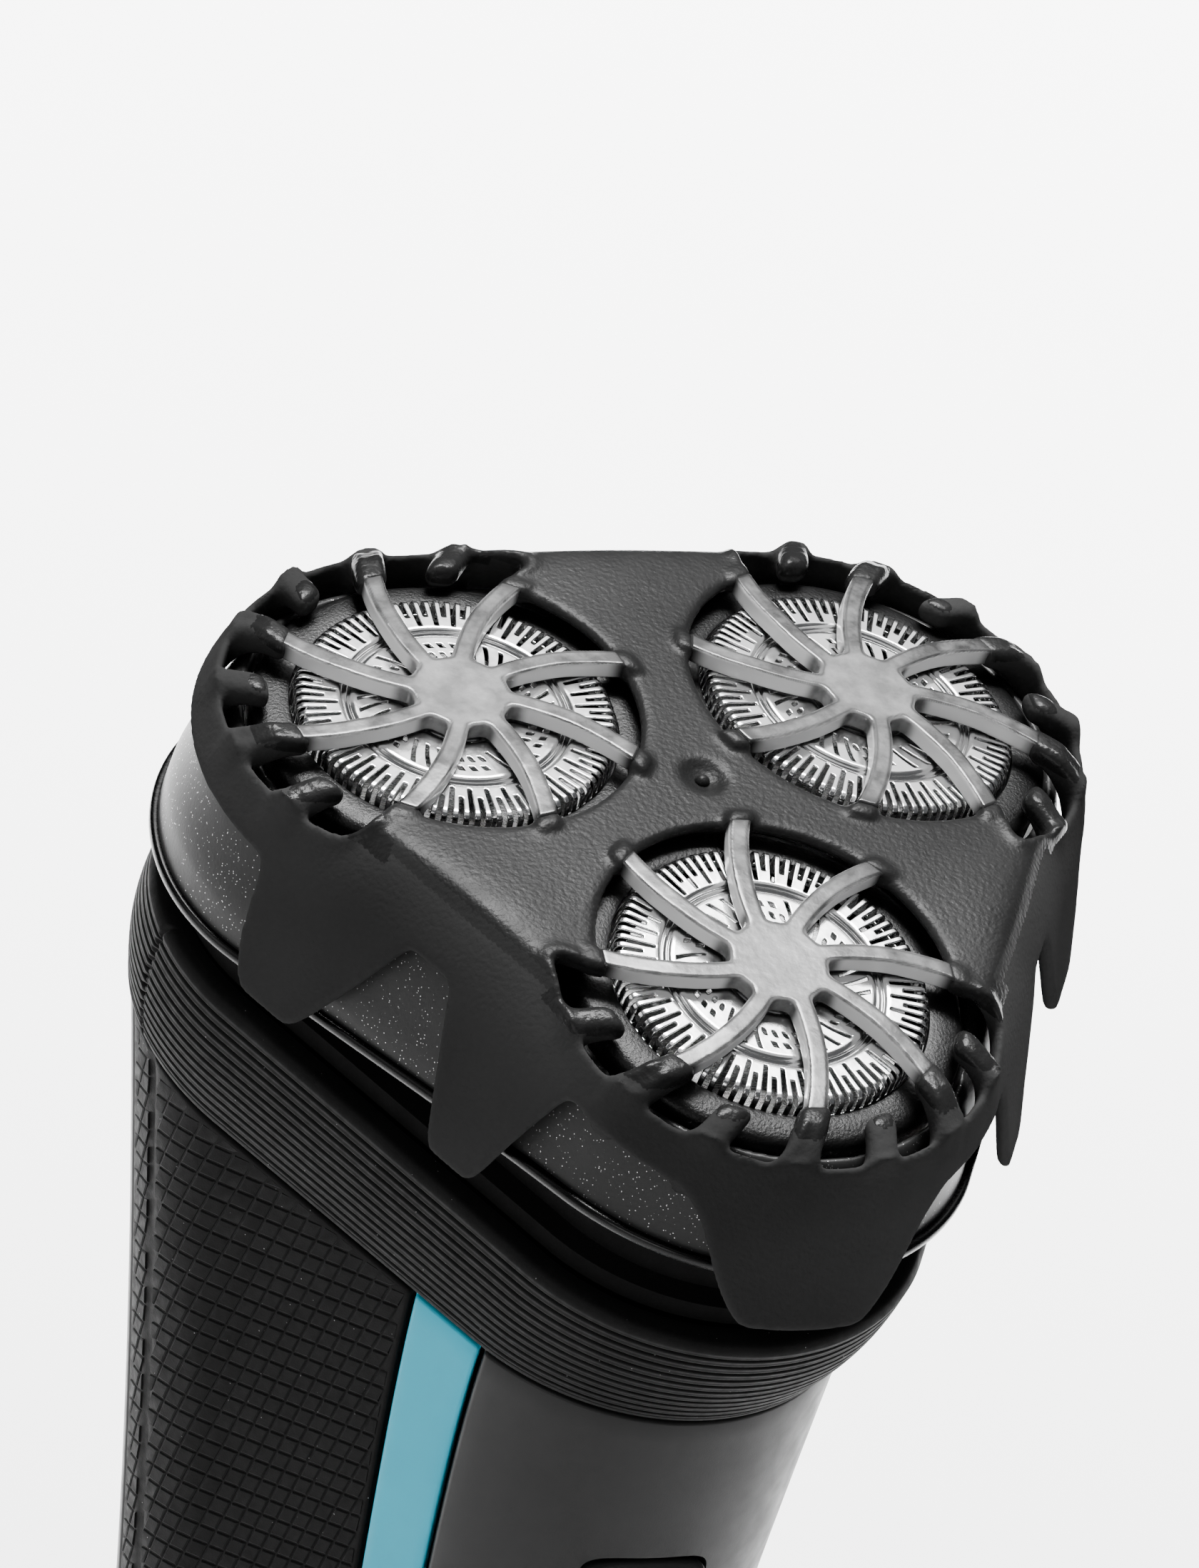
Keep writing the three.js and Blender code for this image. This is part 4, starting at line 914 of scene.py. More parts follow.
def tiles(first, last):
    """Points and faces of the diamond tiles between two seams of the handle."""
    start, stop = (radians(edge - 90) for edge in (first, last))
    middle = (start + stop) / 2
    width = (stop - start) * PANEL_REACH / 2
    mirror = (1 if middle < radians(-90) else -1, 1)
    one, two = TILE_ALONG * mirror, TILE_ACROSS * mirror
    i, j = (grid.ravel() for grid in np.meshgrid(np.arange(-90, 90), np.arange(-90, 90)))
    centres = i[:, None] * one + j[:, None] * two
    centres = centres[(np.abs(centres[:, 0]) < width + 1) & (np.abs(centres[:, 1]) < 62)]
    half_low = 0.5 - TILE_GROOVE / 2 / np.linalg.norm(one)
    half_high = half_low - TILE_BEVEL / np.linalg.norm(one)
    rings = ((half_low, TILE_HEIGHT + 0.1), (half_low, TILE_HEIGHT - 0.04), (half_high, 0.0))
    margin = FIELD_MARGIN + GAP / 2
    points, keep = [], None
    for half, inset in rings:
        corners = []
        for a, b in ((1, 1), (1, -1), (-1, -1), (-1, 1)):
            spot = centres + half * (a * one + b * two)
            angle = middle + np.clip(spot[:, 0], -width, width) / PANEL_REACH
            height = spot[:, 1] + FIELD_MIDDLE
            reach = skin_reach(angle, height)
            left, right = seam(first, height) + margin / reach, seam(last, height) - margin / reach
            angle = np.clip(middle + spot[:, 0] / PANEL_REACH, left, right)
            top = under_collar(angle, 0, GAP) - FIELD_MARGIN
            corners.append((angle, np.clip(height, HEEL_TOP + FIELD_MARGIN, top)))
        if keep is None:
            flat = np.stack([np.stack([a * PANEL_REACH, h], -1) for a, h in corners])
            across, over = flat[2] - flat[0], flat[3] - flat[1]
            area = np.abs(across[:, 0] * over[:, 1] - across[:, 1] * over[:, 0]) / 2
            keep = area > 0.25 * area.max()
        points.append([body_points(a[keep], h[keep], inset) for a, h in corners])
    points = np.array(points).transpose(2, 0, 1, 3)
    number = np.arange(len(points))[:, None] * 12
    faces = [number + np.arange(8, 12)]
    for level in (0, 4):
        for n in range(4):
            m = (n + 1) % 4
            faces.append(number + np.array([level + n, level + m, level + 4 + m, level + 4 + n]))
    return points.reshape(-1, 3), np.concatenate(faces)


def grip(name, side):
    """A rubber grip: a panel let down by the height of its tiles, and its two fields of tiles."""
    split = radians(side * DIAMOND_EDGE - 90)

    def well(angle, reach, border):
        line = np.abs((angle - split) * reach)
        sunk = TILE_HEIGHT * smoothstep(border, 0.35, 0.6)
        return sunk + SPLIT_DEPTH * (1 - smoothstep(line, 0.15, 0.4))

    base = panel(name, *sorted((side * STRIP_EDGE, side * GRIP_EDGE)), 0.5, 1.2, well)
    fields = []
    for n, edges in enumerate(((STRIP_EDGE, DIAMOND_EDGE), (DIAMOND_EDGE, GRIP_EDGE))):
        fields.append(make(f"{name}_tiles_{n + 1}", *tiles(*sorted(side * edge for edge in edges))))
    return base, fields


# ---- materials


SOCKETS = {
    "colour": "Base Color", "metallic": "Metallic", "roughness": "Roughness",
    "specular": "Specular IOR Level", "coat": "Coat Weight", "sheen": "Sheen Weight",
    "sheen_roughness": "Sheen Roughness", "subsurface": "Subsurface Weight",
}


class Nodes:
    """Builds one material's node tree, with textures measured in the object's millimetres."""

    def __init__(self, name):
        self.material = bpy.data.materials.new(name)
        self.material.use_nodes = True
        self.tree = self.material.node_tree
        self.shader = self.tree.nodes["Principled BSDF"]
        place = self.add("ShaderNodeTexCoord")
        scaled = self.add("ShaderNodeVectorMath", operation="SCALE")
        scaled.inputs["Scale"].default_value = 1 / MM
        self.link(place.outputs["Object"], scaled.inputs[0])
        self.place = scaled.outputs[0]

    def add(self, kind, **settings):
        node = self.tree.nodes.new(kind)
        for key, value in settings.items():
            setattr(node, key, value)
        return node

    def link(self, start, end):
        self.tree.links.new(start, end)

    def noise(self, per_mm, detail=2.0, roughness=0.5, stretch=None):
        node = self.add("ShaderNodeTexNoise")
        node.inputs["Scale"].default_value = per_mm
        node.inputs["Detail"].default_value = detail
        node.inputs["Roughness"].default_value = roughness
        source = self.place
        if stretch:
            squeeze = self.add("ShaderNodeVectorMath", operation="MULTIPLY")
            squeeze.inputs[1].default_value = stretch
            self.link(source, squeeze.inputs[0])
            source = squeeze.outputs[0]
        self.link(source, node.inputs["Vector"])
        return node.outputs["Fac"]

    def cloud(self, per_mm, detail, start=0.0, stop=1.0):
        """Slow variation between two values."""
        return self.ramp(self.noise(per_mm, detail), 0.3, 0.7, start, stop)

    def cells(self, per_mm, feature="F1", output="Distance"):
        node = self.add("ShaderNodeTexVoronoi", feature=feature)
        node.inputs["Scale"].default_value = per_mm
        self.link(self.place, node.inputs["Vector"])
        return node.outputs[output]

    def ramp(self, value, low, high, start=0.0, stop=1.0):
        node = self.add("ShaderNodeMapRange")
        ends = {"From Min": low, "From Max": high, "To Min": start, "To Max": stop}
        for key, number in ends.items():
            node.inputs[key].default_value = number
        self.link(value, node.inputs["Value"])
        return node.outputs["Result"]

    def attribute(self, name):
        return self.add("ShaderNodeAttribute", attribute_name=name).outputs["Fac"]

    def feed(self, socket, value):
        """Gives a socket a number, a colour of three numbers, or another socket's value."""
        if isinstance(value, tuple):
            socket.default_value = (*value, 1)
        elif isinstance(value, (int, float)):
            socket.default_value = value
        else:
            self.link(value, socket)

    def math(self, operation, a, b):
        node = self.add("ShaderNodeMath", operation=operation)
        for socket, value in zip(node.inputs, (a, b)):
            self.feed(socket, value)
        return node.outputs[0]

    def mix(self, share, one, two):
        """A colour between two colours, each given as numbers or as a socket."""
        node = self.add("ShaderNodeMix", data_type="RGBA")
        self.link(share, node.inputs["Factor"])
        self.feed(node.inputs[6], one)
        self.feed(node.inputs[7], two)
        return node.outputs[2]

    def bump(self, height, depth):
        """Relief of a depth in millimetres."""
        node = self.add("ShaderNodeBump")
        node.inputs["Distance"].default_value = depth * MM
        self.link(height, node.inputs["Height"])
        self.link(node.outputs["Normal"], self.shader.inputs["Normal"])

    def set(self, **values):
        """Sets the shader's own inputs, each by a short name."""
        for key, value in values.items():
            self.feed(self.shader.inputs[SOCKETS[key]], value)


def grey(value, warmth=0.0):
    return (value * (1 + warmth), value, value * (1 - warmth))


def times(colour, factor):
    return tuple(c * factor for c in colour)


def moulded(name, base, roughness, grain, per_mm, spread, specular):
    """Moulded plastic: a fine spark-eroded grain, faint colour drift and uneven gloss."""
    m = Nodes(name)
    drift = m.cloud(0.09, 3)
    m.set(colour=m.mix(drift, times(base, 1 - spread), times(base, 1 + spread)))
    m.set(roughness=m.cloud(0.6, 4, roughness - 0.06, roughness + 0.06), specular=specular)
    m.bump(m.noise(per_mm, 3, 0.6), grain)
    return m.material


def smoked_plastic(name, specular, tone):
    """The comb's shell: dark smoked plastic with a fine leather-like grain."""
    m = Nodes(name)
    m.set(colour=m.mix(m.ramp(m.noise(0.05, 2), 0.35, 0.65), grey(tone * 0.8), grey(tone * 1.2)))
    matte = m.cloud(0.5, 3, 0.34, 0.44)
    m.set(roughness=m.math("SUBTRACT", matte, m.math("MULTIPLY", m.attribute("gloss"), 0.12)))
    m.set(specular=specular)
    wrinkle = m.cells(3.0, "SMOOTH_F1")
    m.bump(m.math("ADD", m.noise(3.0, 2, 0.5), m.math("MULTIPLY", wrinkle, 0.5)), 0.04)
    return m.material


def clear_plastic(name):
    """The comb's thin arms: glossy and cloudy on top, with painted light: tops lighter than the
    shell for light coming through from the foil, a painted highlight on the hub, pale sides painted
    for the bright light they catch, and dark ends without it.
    """
    m = Nodes(name)
    cloud = m.ramp(m.noise(0.45, 4, 0.6), 0.38, 0.66)
    # Painted light: the cloudy tops run lighter than the shell, for light coming through the thin
    # plastic from the foil below.
    top = m.mix(cloud, grey(0.03), grey(0.16))
    # Painted highlight: the hub is lighter still.
    top = m.mix(m.attribute("hub"), top, m.mix(cloud, grey(0.11), grey(0.22)))
    top = m.mix(m.attribute("border"), top, grey(0.03))
    # Painted light: the side faces are pale for the bright light they catch.
    body = m.mix(m.attribute("side"), top, grey(0.60))
    # The ends keep a dark tone, without the painted light.
    m.set(colour=m.mix(m.attribute("end"), body, grey(0.02)))
    m.set(roughness=m.cloud(0.8, 3, 0.16, 0.26), specular=0.6)
    m.bump(m.noise(1.2, 3, 0.5), 0.02)
    return m.material


def flaked_grey(name):
    """The casing: dark grey paint with metal flake."""
    m = Nodes(name)
    speck = m.cells(7.0, "F1", "Color")
    split = m.add("ShaderNodeSeparateColor")
    m.link(speck, split.inputs[0])
    flake = m.ramp(split.outputs[0], 0.86, 0.93)
    near = m.ramp(m.cells(7.0), 0.34, 0.2)
    flake = m.math("MULTIPLY", flake, near)
    m.set(colour=m.mix(flake, grey(0.022), grey(0.5)))
    m.set(metallic=m.ramp(flake, 0, 1, 0.25, 1.0), roughness=m.ramp(flake, 0, 1, 0.36, 0.25))
    m.set(specular=0.2)
    m.bump(m.noise(4.0, 2), 0.012)
    return m.material


def brushed(name, base, roughness, depth):
    """Bare metal with fine scratches round its axis."""
    m = Nodes(name)
    lines = m.noise(6.0, 3, 0.6, (0.25, 0.25, 4.0))
    cloud = m.cloud(0.5, 3)
    m.set(colour=m.mix(cloud, times(base, 0.92), base))
    m.set(metallic=1.0, roughness=m.ramp(lines, 0.3, 0.7, roughness * 0.75, roughness * 1.3))
    m.bump(lines, depth)
    return m.material


def rubber(name, base, roughness, specular):
    """Soft-touch rubber: matte, faintly dusty, with a very fine grain and a few specks."""
    m = Nodes(name)
    dust = m.ramp(m.noise(0.25, 4, 0.6), 0.35, 0.7)
    body = m.mix(dust, times(base, 0.85), times(base, 1.25))
    speck = m.ramp(m.cells(0.9), 0.05, 0.02)
    m.set(colour=m.mix(speck, body, grey(0.22)))
    m.set(roughness=m.cloud(1.5, 3, roughness - 0.08, roughness + 0.08))
    m.set(specular=specular, sheen=0.015, sheen_roughness=0.4)
    m.bump(m.noise(7.0, 3, 0.6), 0.016)
    return m.material


def cell_wrap(name):
    """The battery's shrink sleeve: a glossy film with faint wrinkles towards its ends."""
    m = Nodes(name)
    m.set(colour=m.mix(m.cloud(0.2, 2), (0.03, 0.11, 0.28), (0.05, 0.16, 0.36)))
    m.set(roughness=m.cloud(1.0, 3, 0.22, 0.36), coat=0.3)
    m.bump(m.noise(0.6, 3, 0.6, (1, 1, 0.2)), 0.08)
    return m.material


def circuit(name):
    """A green board with copper tracks under the mask."""
    m = Nodes(name)
    track = m.ramp(m.cells(0.45, "DISTANCE_TO_EDGE"), 0.10, 0.14)
    m.set(colour=m.mix(track, (0.02, 0.17, 0.07), (0.012, 0.10, 0.045)))
    m.set(roughness=m.ramp(track, 0, 1, 0.35, 0.5), specular=0.5)
    m.bump(track, 0.03)
    return m.material


def lens(name):
    """The status light's pale frosted window."""
    m = Nodes(name)
    m.set(colour=m.mix(m.cloud(1.2, 2), (0.55, 0.78, 0.84), (0.75, 0.9, 0.94)))
    m.set(roughness=0.22, coat=0.6, subsurface=0.2)
    m.bump(m.noise(5.0, 2), 0.006)
    return m.material


FINISHES = {
    # The comb's shell in three copies by height: the lower two reflect less or not at all, and
    # their lighter tones are painted sheen in place of that reflection.
    "smoked_plastic": (smoked_plastic, 0.10, 0.011),
    "smoked_shoulder": (smoked_plastic, 0.05, 0.018),
    "smoked_skirt": (smoked_plastic, 0.0, 0.028),
    "clear_plastic": (clear_plastic,),
    "case_grey": (flaked_grey,),
    "black_plastic": (moulded, grey(0.003), 0.55, 0.014, 6.0, 0.15, 0.03),
    "bezel_black": (moulded, grey(0.003), 0.36, 0.05, 4.5, 0.15, 0.2),
    "satin_plastic": (moulded, grey(0.014), 0.38, 0.006, 8.0, 0.15, 0.16),
    "rubber": (rubber, grey(0.009), 0.6, 0.08),
    "grip": (rubber, grey(0.005), 0.5, 0.035),
    "cyan_plastic": (moulded, (0.006, 0.33, 0.46), 0.38, 0.005, 8.0, 0.06, 0.2),
    "steel": (brushed, grey(0.62), 0.26, 0.004),
    "foil": (brushed, grey(0.82), 0.16, 0.003),
    # Chrome darkened to near black: painted shade standing in for the dark surroundings it
    # reflects.
    "chrome": (brushed, grey(0.022), 0.26, 0.001),
    "white_plastic": (moulded, grey(0.45, 0.02), 0.42, 0.01, 5.0, 0.05, 0.5),
    "board": (circuit,),
    "cell": (cell_wrap,),
    "brass": (brushed, (0.72, 0.48, 0.17), 0.28, 0.004),
    "lens": (lens,),
}
MATERIALS = {name: finish(name, *rest) for name, (finish, *rest) in FINISHES.items()}

# ---- the pieces


def put(thing, material, body, *nodes, slot=None, sharp=40, own_axes=False):
    """Gives a piece its material, the body it rides on and the CAD nodes it stands for.

    Its place is moved into its points, so that its textures follow the part's axes, unless
    it keeps its own_axes.
    """
    if not own_axes:
        thing.data.transform(thing.matrix_world)
        thing.matrix_world = Matrix()
    shade(thing, sharp)
    thing.data.materials.clear()
    thing.data.materials.append(MATERIALS[material])
    slot = slot or material
    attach(thing, body)
    if nodes:
        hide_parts(*nodes)


def add_comb():
    dome = [[0.01, 1.78], [0.15, 1.77], [0.32, 1.7], [0.45, 1.58], [0.53, 1.42], [0.56, 1.2],
            [0.01, 1.0]]
    put(lathe("comb_nub", dome, 48, HEAD), "smoked_plastic", "comb", slot="smoked_plastic")
    points, faces = comb_surface()
    thing = make("comb", points, outward(points, faces), HEAD)
    gloss = np.zeros(len(points))
    for matrix in FOILS.values():
        u, v, _ = within(matrix, *points.T)
        reach = np.hypot(u, v)
        near = smoothstep(reach, 12.2, 12.8) * (1 - smoothstep(reach, 17.0, 18.0))
        gloss = np.maximum(gloss, near * smoothstep(u, 0.0, 3.0))
    point_layers(thing, gloss=gloss)
    put(thing, "smoked_plastic", "comb", "stubble_comb", sharp=180)
    # Lower faces take the copies with less reflection and painted sheen; the glossy hooks keep the
    # top's.
    level = points[faces].mean(1)[:, 2]
    hooks = (gloss[faces].mean(1) > 0.3) & (level > HOOK_FOOT)
    level = np.where(hooks, SKIRT_STEPS["smoked_shoulder"], level)
    step = np.zeros(len(faces), np.int32)
    for name, top in SKIRT_STEPS.items():
        thing.data.materials.append(MATERIALS[name])
        step += level < top
    thing.data.polygons.foreach_set("material_index", step)
    points, faces = spider_surface()
    reach = np.hypot(points[:, 0], points[:, 1])
    plan = arms_plan(points[:, 0], points[:, 1])
    for name, matrix in FOILS.items():
        spider = make(f"comb_arms_{name}", points, outward(points, faces), HEAD @ matrix)
        shade(spider, 180)
        normals = np.zeros(len(points) * 3, np.float32)
        spider.data.vertex_normals.foreach_get("vector", normals)
        # Masks for the arms' painted light: pale sides, the hub's painted highlight, and the ends
        # where the painted light stops.
        painted_side_light = 1 - smoothstep(np.abs(normals[2::3]), 0.35, 0.75)
        point_layers(
            spider, side=painted_side_light * smoothstep(reach, 4.0, 4.9), end=smoothstep(reach, 11.3, 12.5),
            hub=1 - smoothstep(reach, 3.0, 5.0), border=np.exp(-((plan + 0.26) / 0.09) ** 2),
        )
        put(spider, "clear_plastic", "comb", slot="smoked_plastic", sharp=180)


def add_head():
    points, faces = casing_surface()
    casing = make("casing", points, outward(points, faces), HEAD)
    put(casing, "case_grey", "head_cover", "head_casing", sharp=60)
    angles = np.radians(np.linspace(112, 428, 320))
    section = [(-0.2, 0.16), (-0.2, 0.84), (0.0, 0.9), (0.3, 0.9), (0.47, 0.78), (0.5, 0.5),
               (0.47, 0.22), (0.3, 0.1), (0.0, 0.1)]
    loops = np.array([ring(angles, LOBE, CASE_CORNER + out, case_edge(angles) + up)
                      for out, up in section]).transpose(1, 0, 2)
    # The trim's chrome is darkened as painted shade.
    put(loft("casing_trim", loops, HEAD), "chrome", "head_cover", "head_rim_trim", sharp=60)
    points, faces = foil_surface()
    for name, matrix in FOILS.items():
        place = HEAD @ matrix
        sheet = make(f"foil_sheet_{name}", points, faces, place)
        solid = sheet.modifiers.new("sheet", "SOLIDIFY")
        solid.thickness, solid.offset = FOIL_SHEET * MM, -1
        unit = f"foil_unit_{name}"
        put(sheet, "foil", unit, f"foil_{name}", slot="steel", sharp=50, own_axes=True)
        bezel = lathe(f"bezel_{name}", BEZEL_LINE, 180, place)
        put(bezel, "bezel_black", unit, f"foil_bezel_{name}", slot="black_plastic")


def add_neck():
    put(neck(), "black_plastic", "handle", "neck_deck", sharp=35)
    put(collar(), "rubber", "handle", "ribbed_collar", sharp=55)


# ---- buttons and openings

POWER_AT = 74.0
POWER_RADIUS = 4.6
POWER_RING = 0.9
RELEASE_AT = 99.0
RELEASE_SIZE = (9.0, 5.0)
STATUS_AT = 62.0
STATUS_RADIUS = 1.2
TRAY_BACK = 12.0
TRIMMER_FOOT = 62.0
TRIMMER_TOP = 90.0
TRIMMER_WIDTH = 20.0
TRIMMER_TRAY = 1.2
SLIDER_FOOT = 44.3
SLIDER_TOP = 56.3
SOCKET_SIZE = (8.0, 6.0)
SOCKET_BACK = 6.2


def front_frame(z):
    """A frame on the front panel whose +Z points straight out of the surface."""
    def front(height):
        return float(-body_points(np.array(-pi / 2), np.array(float(height)), 0)[..., 1])
    slope = atan2(front(z + 1) - front(z - 1), 2)
    spot = Matrix.Translation((0, -front(z), z))
    return spot @ Matrix.Rotation(pi / 2 - slope, 4, "X")


def pad(name, wide, tall, low, high, radius, matrix, crown=0.0):
    """A plug with a rounded rectangular outline, rounded over at its outer edge."""
    c, s = circle(1, 0, 96)[:, :2].T
    power = 5.0
    shape = 1 / (np.abs(c) ** power + np.abs(s) ** power) ** (1 / power)
    steps = np.linspace(0, pi / 2, 6)
    levels = [(0.0, low)]
    levels += [(radius * (1 - cos(t)), high - radius + radius * sin(t)) for t in steps]
    loops = []
    for inset, z in levels:
        x, y = (wide - inset) * shape * c, (tall - inset) * shape * s
        loops.append(np.stack([x, y, z + 0 * c], -1))
    edge = loops[-1]
    for share in (0.9, 0.7, 0.45, 0.2):
        middle = edge * (share, share, 1)
        middle[:, 2] = high + crown * (1 - share ** 2)
        loops.append(middle)
    return loft(name, loops, matrix)


def add_panels():
    power, release, status = (front_frame(z) for z in (POWER_AT, RELEASE_AT, STATUS_AT))
    front = panel("front", -FRONT_EDGE, FRONT_EDGE)
    boolean(
        front,
        rod("hole", POWER_RADIUS + POWER_RING + GAP, -8, 4, power, 128),
        pad("hole", RELEASE_SIZE[0] / 2 + GAP, RELEASE_SIZE[1] / 2 + GAP, -8, 4, 0.01, release),
        rod("hole", STATUS_RADIUS + GAP, -3, 4, status, 64),
    )
    put(front, "satin_plastic", "handle", "front_panel", sharp=50)
    for name, side in (("left", -1), ("right", 1)):
        edges = sorted((side * FRONT_EDGE, side * STRIP_EDGE))
        strip = panel(f"strip_{name}", *edges, across=0.7)
        put(strip, "cyan_plastic", "handle", f"accent_strip_{name}", sharp=50)
        base, fields = grip(f"grip_{name}", side)
        put(base, "grip", "handle", f"side_grip_{name}", slot="rubber", sharp=50)
        for field in fields:
            put(field, "grip", "handle", slot="rubber", sharp=25)
    back = panel("back", GRIP_EDGE, 360 - GRIP_EDGE)
    half = TRIMMER_WIDTH / 2 + 0.5 + TRIMMER_TRAY + GAP
    tray = (TRIMMER_FOOT - TRIMMER_TRAY - GAP, TRIMMER_TOP + 1 + TRIMMER_TRAY + GAP)
    slider = (SLIDER_FOOT - GAP, SLIDER_TOP + GAP)
    boolean(
        back,
        box("room", (-half, half), (TRAY_BACK - 1.6, 40), tray),
        box("room", (-5.2 - GAP, 5.2 + GAP), (TRAY_BACK - 1.6, 40), slider),
    )
    put(back, "satin_plastic", "handle", "back_shell", sharp=50)


def add_base():
    angles = around(LOOP)

    def level(z, inset):
        scale = float(body_scale(np.array(z)))
        return ring(angles, BODY_LOBE * scale, BODY_CORNER * scale - inset, z)

    heel = [[4.2, 0], [2.9, 0.3], [2.0, 1.0], [1.1, 2.1], [0.5, 3.4], [0.12, 5.0], [0, 6.5]]
    outer = [level(z, inset) for inset, z in spline(heel, 5)]
    outer += [level(z, 0) for z in (8, 9.5, 11, 12.2, HEEL_HEIGHT - ROUNDING)]
    steps = np.linspace(0.2, 1, 4) * pi / 2
    outer += [level(HEEL_HEIGHT - ROUNDING * (1 - sin(t)), ROUNDING * (1 - cos(t))) for t in steps]
    inner = [level(HEEL_HEIGHT, 1.8), level(5, 2.2), level(2.5, 4.5)]
    cap = loft("base", [*outer, *inner])
    x, y = (size / 2 + 1 + GAP for size in SOCKET_SIZE)
    boolean(cap, box("hole", (-x, x), (SOCKET_BACK - y, SOCKET_BACK + y), (-1, 4)))
    put(cap, "satin_plastic", "handle", "base_cap", sharp=50)


def add_buttons():
    power, release, status = (front_frame(z) for z in (POWER_AT, RELEASE_AT, STATUS_AT))
    edge = POWER_RADIUS - GAP
    dish = [[0.01, -0.12], [1.0, -0.1], [2.0, -0.03], [3.0, 0.1], [3.6, 0.2], [3.9, 0.24],
            [4.12, 0.2], [4.25, 0.08], [edge, -0.1], [edge, -2.8], [0.01, -2.8]]
    put(lathe("power_cap", dish, 128, power), "satin_plastic", "power_key", "power_button")
    low, high = POWER_RADIUS, POWER_RADIUS + POWER_RING
    section = [[low, -2.6], [low, -0.25], [low + 0.06, -0.1], [low + 0.2, -0.01], [low + 0.45, 0],
               [high - 0.2, -0.01], [high - 0.06, -0.1], [high, -0.25], [high, -2.6]]
    surround = lathe("power_ring", section, 128, power)
    # The ring's chrome is darkened as painted shade.
    put(surround, "chrome", "handle", "power_button_ring", own_axes=True)
    stroke = np.radians(np.linspace(125, 415, 60))
    mark = ribbon("power_mark_ring", polar(1.3, stroke, 0), 0.26, -0.14, 0.0, power)
    stem = np.array([[0, 0.55, 0], [0, 1.1, 0], [0, 1.75, 0]])
    bar = ribbon("power_mark_bar", stem, 0.26, -0.14, 0.03, power)
    for piece in (mark, bar):
        put(piece, "white_plastic", "power_key")
    wide, tall = (size / 2 for size in RELEASE_SIZE)
    key = pad("release_key", wide, tall, -2.4, 0.55, 0.35, release, crown=0.12)
    for n in (-1, 0, 1):
        groove = box("groove", (-2.4, 2.4), (n * 0.95 - 0.16, n * 0.95 + 0.16), (0.45, 2), release)
        boolean(key, groove)
    put(key, "satin_plastic", "release_key", "head_release_button", sharp=35)
    dome = [[0.01, 0.1], [0.5, 0.08], [0.9, -0.01], [1.12, -0.15], [STATUS_RADIUS, -0.35],
            [STATUS_RADIUS, -1.4], [0.01, -1.4]]
    put(lathe("status_window", dome, 64, status), "lens", "handle", "status_light")


def ribbon(name, path, width, low, high, matrix):
    """A flat raised line along a path in a button's frame."""
    ahead = np.gradient(path, axis=0)
    side = np.stack([-ahead[:, 1], ahead[:, 0], 0 * ahead[:, 0]], -1)
    side *= width / 2 / np.linalg.norm(side, axis=1)[:, None]
    corners = ((-1, low), (1, low), (0.7, high), (-0.7, high))
    loops = [[p + s * share + (0, 0, z) for share, z in corners] for p, s in zip(path, side)]
    return loft(name, loops, matrix)


# CAD nodes that keep their shape: the finish of each, and how far its edges are rounded.
KEPT = {
    "lock_dial": ("black_plastic", 0.25), "cutter_frame": ("white_plastic", 0.2),
    "head_hinge_pin": ("steel", 0.1), "gear_plate": ("white_plastic", 0.15),
    "motor": ("steel", 0.4), "motor_shaft": ("steel", 0), "motor_pinion": ("brass", 0),
    "inner_housing": ("black_plastic", 0), "charging_socket": ("black_plastic", 0.15),
    "battery": ("cell", 0.5), "circuit_board": ("board", 0.1),
    "trimmer_tray": ("black_plastic", 0.15), "trimmer_flap": ("satin_plastic", 0.25),
    "trimmer_pin": ("steel", 0), "trimmer_fixed_blade": ("steel", 0),
    "trimmer_moving_blade": ("steel", 0), "trimmer_slider": ("satin_plastic", 0.2),
    "slider_tray": ("black_plastic", 0.1), "socket_pin_left": ("brass", 0.15),
    "socket_pin_right": ("brass", 0.15), "deck_screw_1": ("steel", 0.1),
    "deck_screw_2": ("steel", 0.1), "deck_screw_3": ("steel", 0.1),
}
for head in HEADS:
    KEPT |= {
        f"cutter_{head}": ("steel", 0), f"drive_gear_{head}": ("white_plastic", 0),
        f"drive_spindle_{head}": ("steel", 0), f"spindle_spring_{head}": ("steel", 0),
    }


def dress_kept():
    for name, (material, width) in KEPT.items():
        node = frame["nodes"][name]
        for n in range(len(node.material_slots)):
            node.material_slots[n].material = MATERIALS[material]
        if width:
            bevel(node, width)


add_comb()
add_head()
add_neck()
add_panels()
add_base()
add_buttons()
dress_kept()

# ---- floor, lights, camera


FLOOR_REACH = 6000
CAMERA_SPOT = (-593.5, -1173.4, 822.2)
CAMERA_BACK = (-0.400, -0.7944, 0.4570)
CAMERA_UP = (0.013, 0.4938, 0.8694)
CAMERA_SENSOR = 36.0
CAMERA_LENS = 498.0


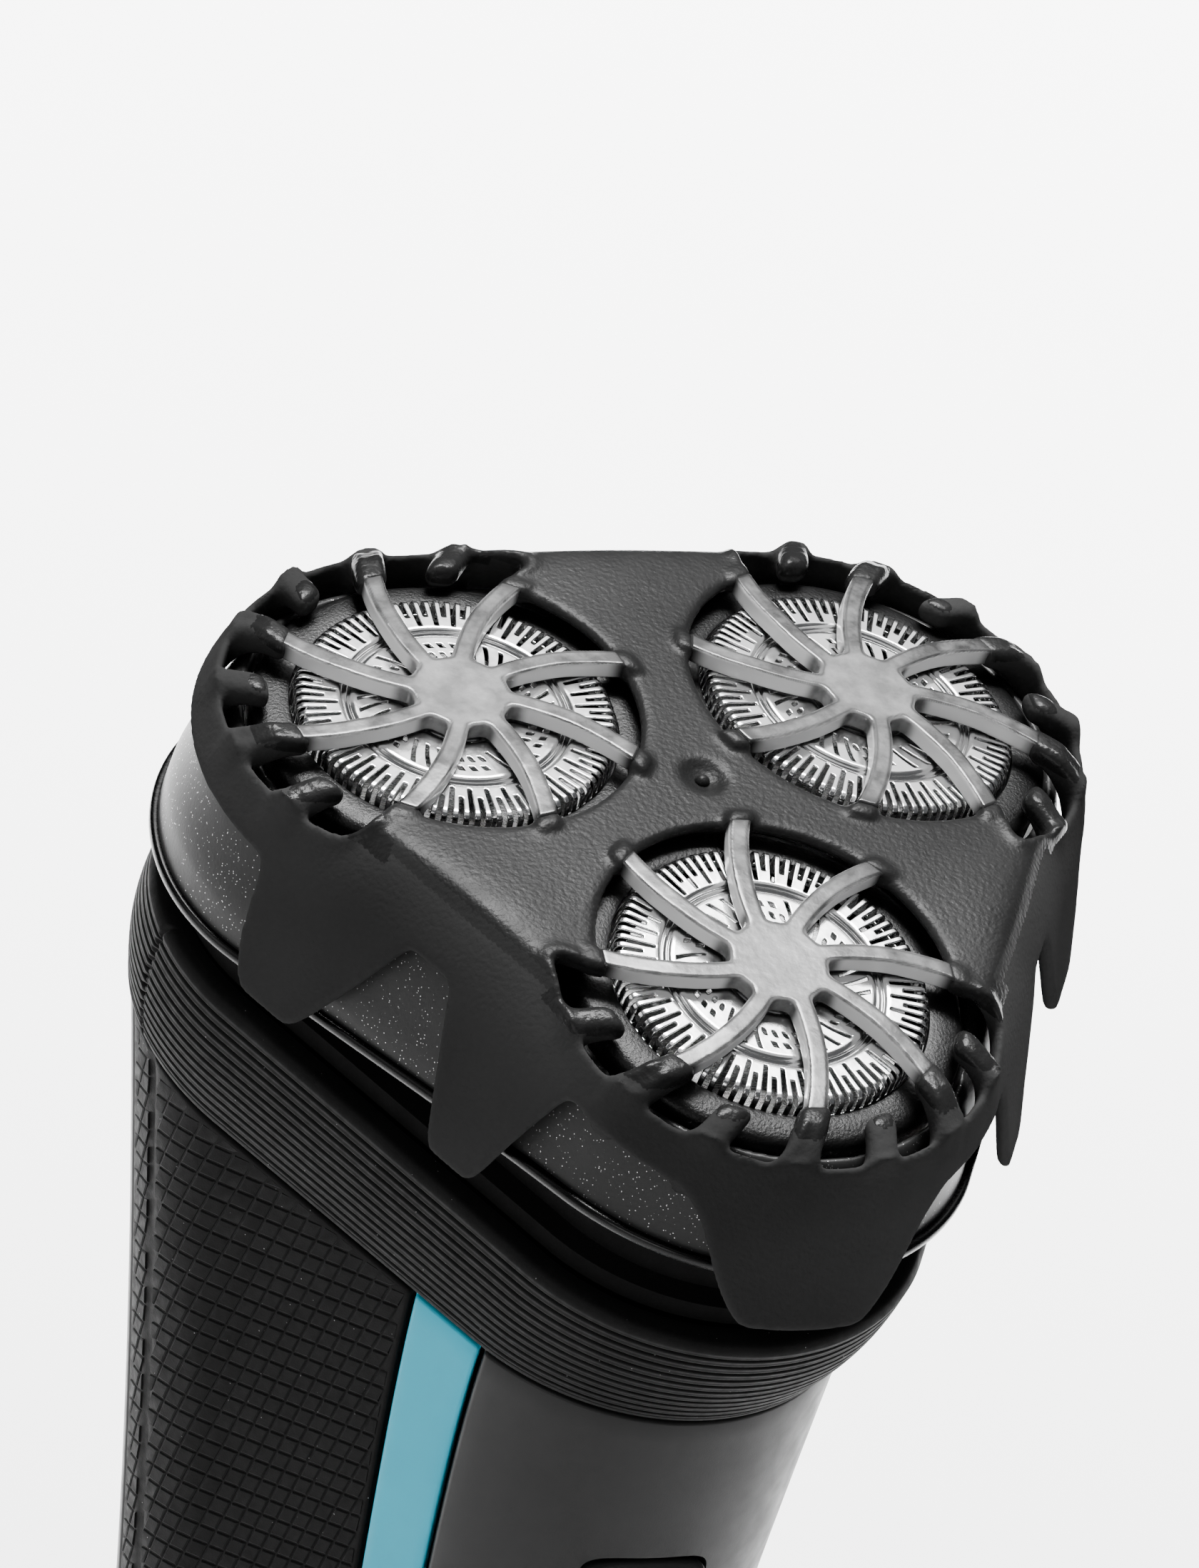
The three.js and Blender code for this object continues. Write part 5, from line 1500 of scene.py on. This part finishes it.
def studio():
    quarters = ((-1, -1), (1, -1), (1, 1), (-1, 1))
    corners = [(x * FLOOR_REACH, y * FLOOR_REACH, 0) for x, y in quarters]
    floor = make("floor", corners, np.array([[0, 1, 2, 3]]))
    pale = Nodes("floor")
    pale.set(colour=pale.mix(pale.noise(0.004, 2), grey(0.86), grey(0.88)))
    pale.set(roughness=0.6, specular=0.2)
    floor.data.materials.append(pale.material)
    world = bpy.data.worlds.new("studio")
    bpy.context.scene.world = world
    world.use_nodes = True
    sky = world.node_tree.nodes["Background"].inputs
    sky["Color"].default_value = (0.95, 0.97, 1, 1)
    sky["Strength"].default_value = 0.11


def softbox(name, spot, target, size, power, spread=180):
    data = bpy.data.lights.new(name, "AREA")
    data.spread = radians(spread)
    data.shape, data.size, data.size_y, data.energy = "RECTANGLE", size[0], size[1], power
    lamp = bpy.data.objects.new(name, data)
    lamp.location = spot
    lamp.rotation_mode = "QUATERNION"
    lamp.rotation_quaternion = (Vector(target) - Vector(spot)).to_track_quat("-Z", "Y")
    bpy.context.scene.collection.objects.link(lamp)


def camera():
    data = bpy.data.cameras.new("camera")
    data.sensor_width, data.lens = CAMERA_SENSOR, CAMERA_LENS
    data.clip_start, data.clip_end = 0.05, 50.0
    thing = bpy.data.objects.new("camera", data)
    bpy.context.scene.collection.objects.link(thing)
    back = Vector(CAMERA_BACK).normalized()
    right = Vector(CAMERA_UP).cross(back).normalized()
    up = back.cross(right)
    turn = Matrix((right, up, back)).transposed().to_4x4()
    thing.matrix_world = Matrix.Translation(Vector(CAMERA_SPOT) * MM) @ turn
    bpy.context.scene.camera = thing


studio()
HEAD_SPOT = (0, 0, 0.12)
softbox("top_back", (0.34, 0.42, 0.78), HEAD_SPOT, (0.5, 0.35), 1.1)
softbox("left", (-0.9, 0.1, 0.5), HEAD_SPOT, (0.3, 0.8), 1.5)
softbox("front_left", (-0.7, -0.8, 0.35), HEAD_SPOT, (0.5, 0.4), 2.4)
softbox("overhead", (0, -0.2, 1.7), HEAD_SPOT, (1.6, 1.6), 5)
softbox("backdrop", (0.45, 0.85, 1.6), (0.45, 0.85, 0), (1.4, 1.4), 85, spread=60)
camera()
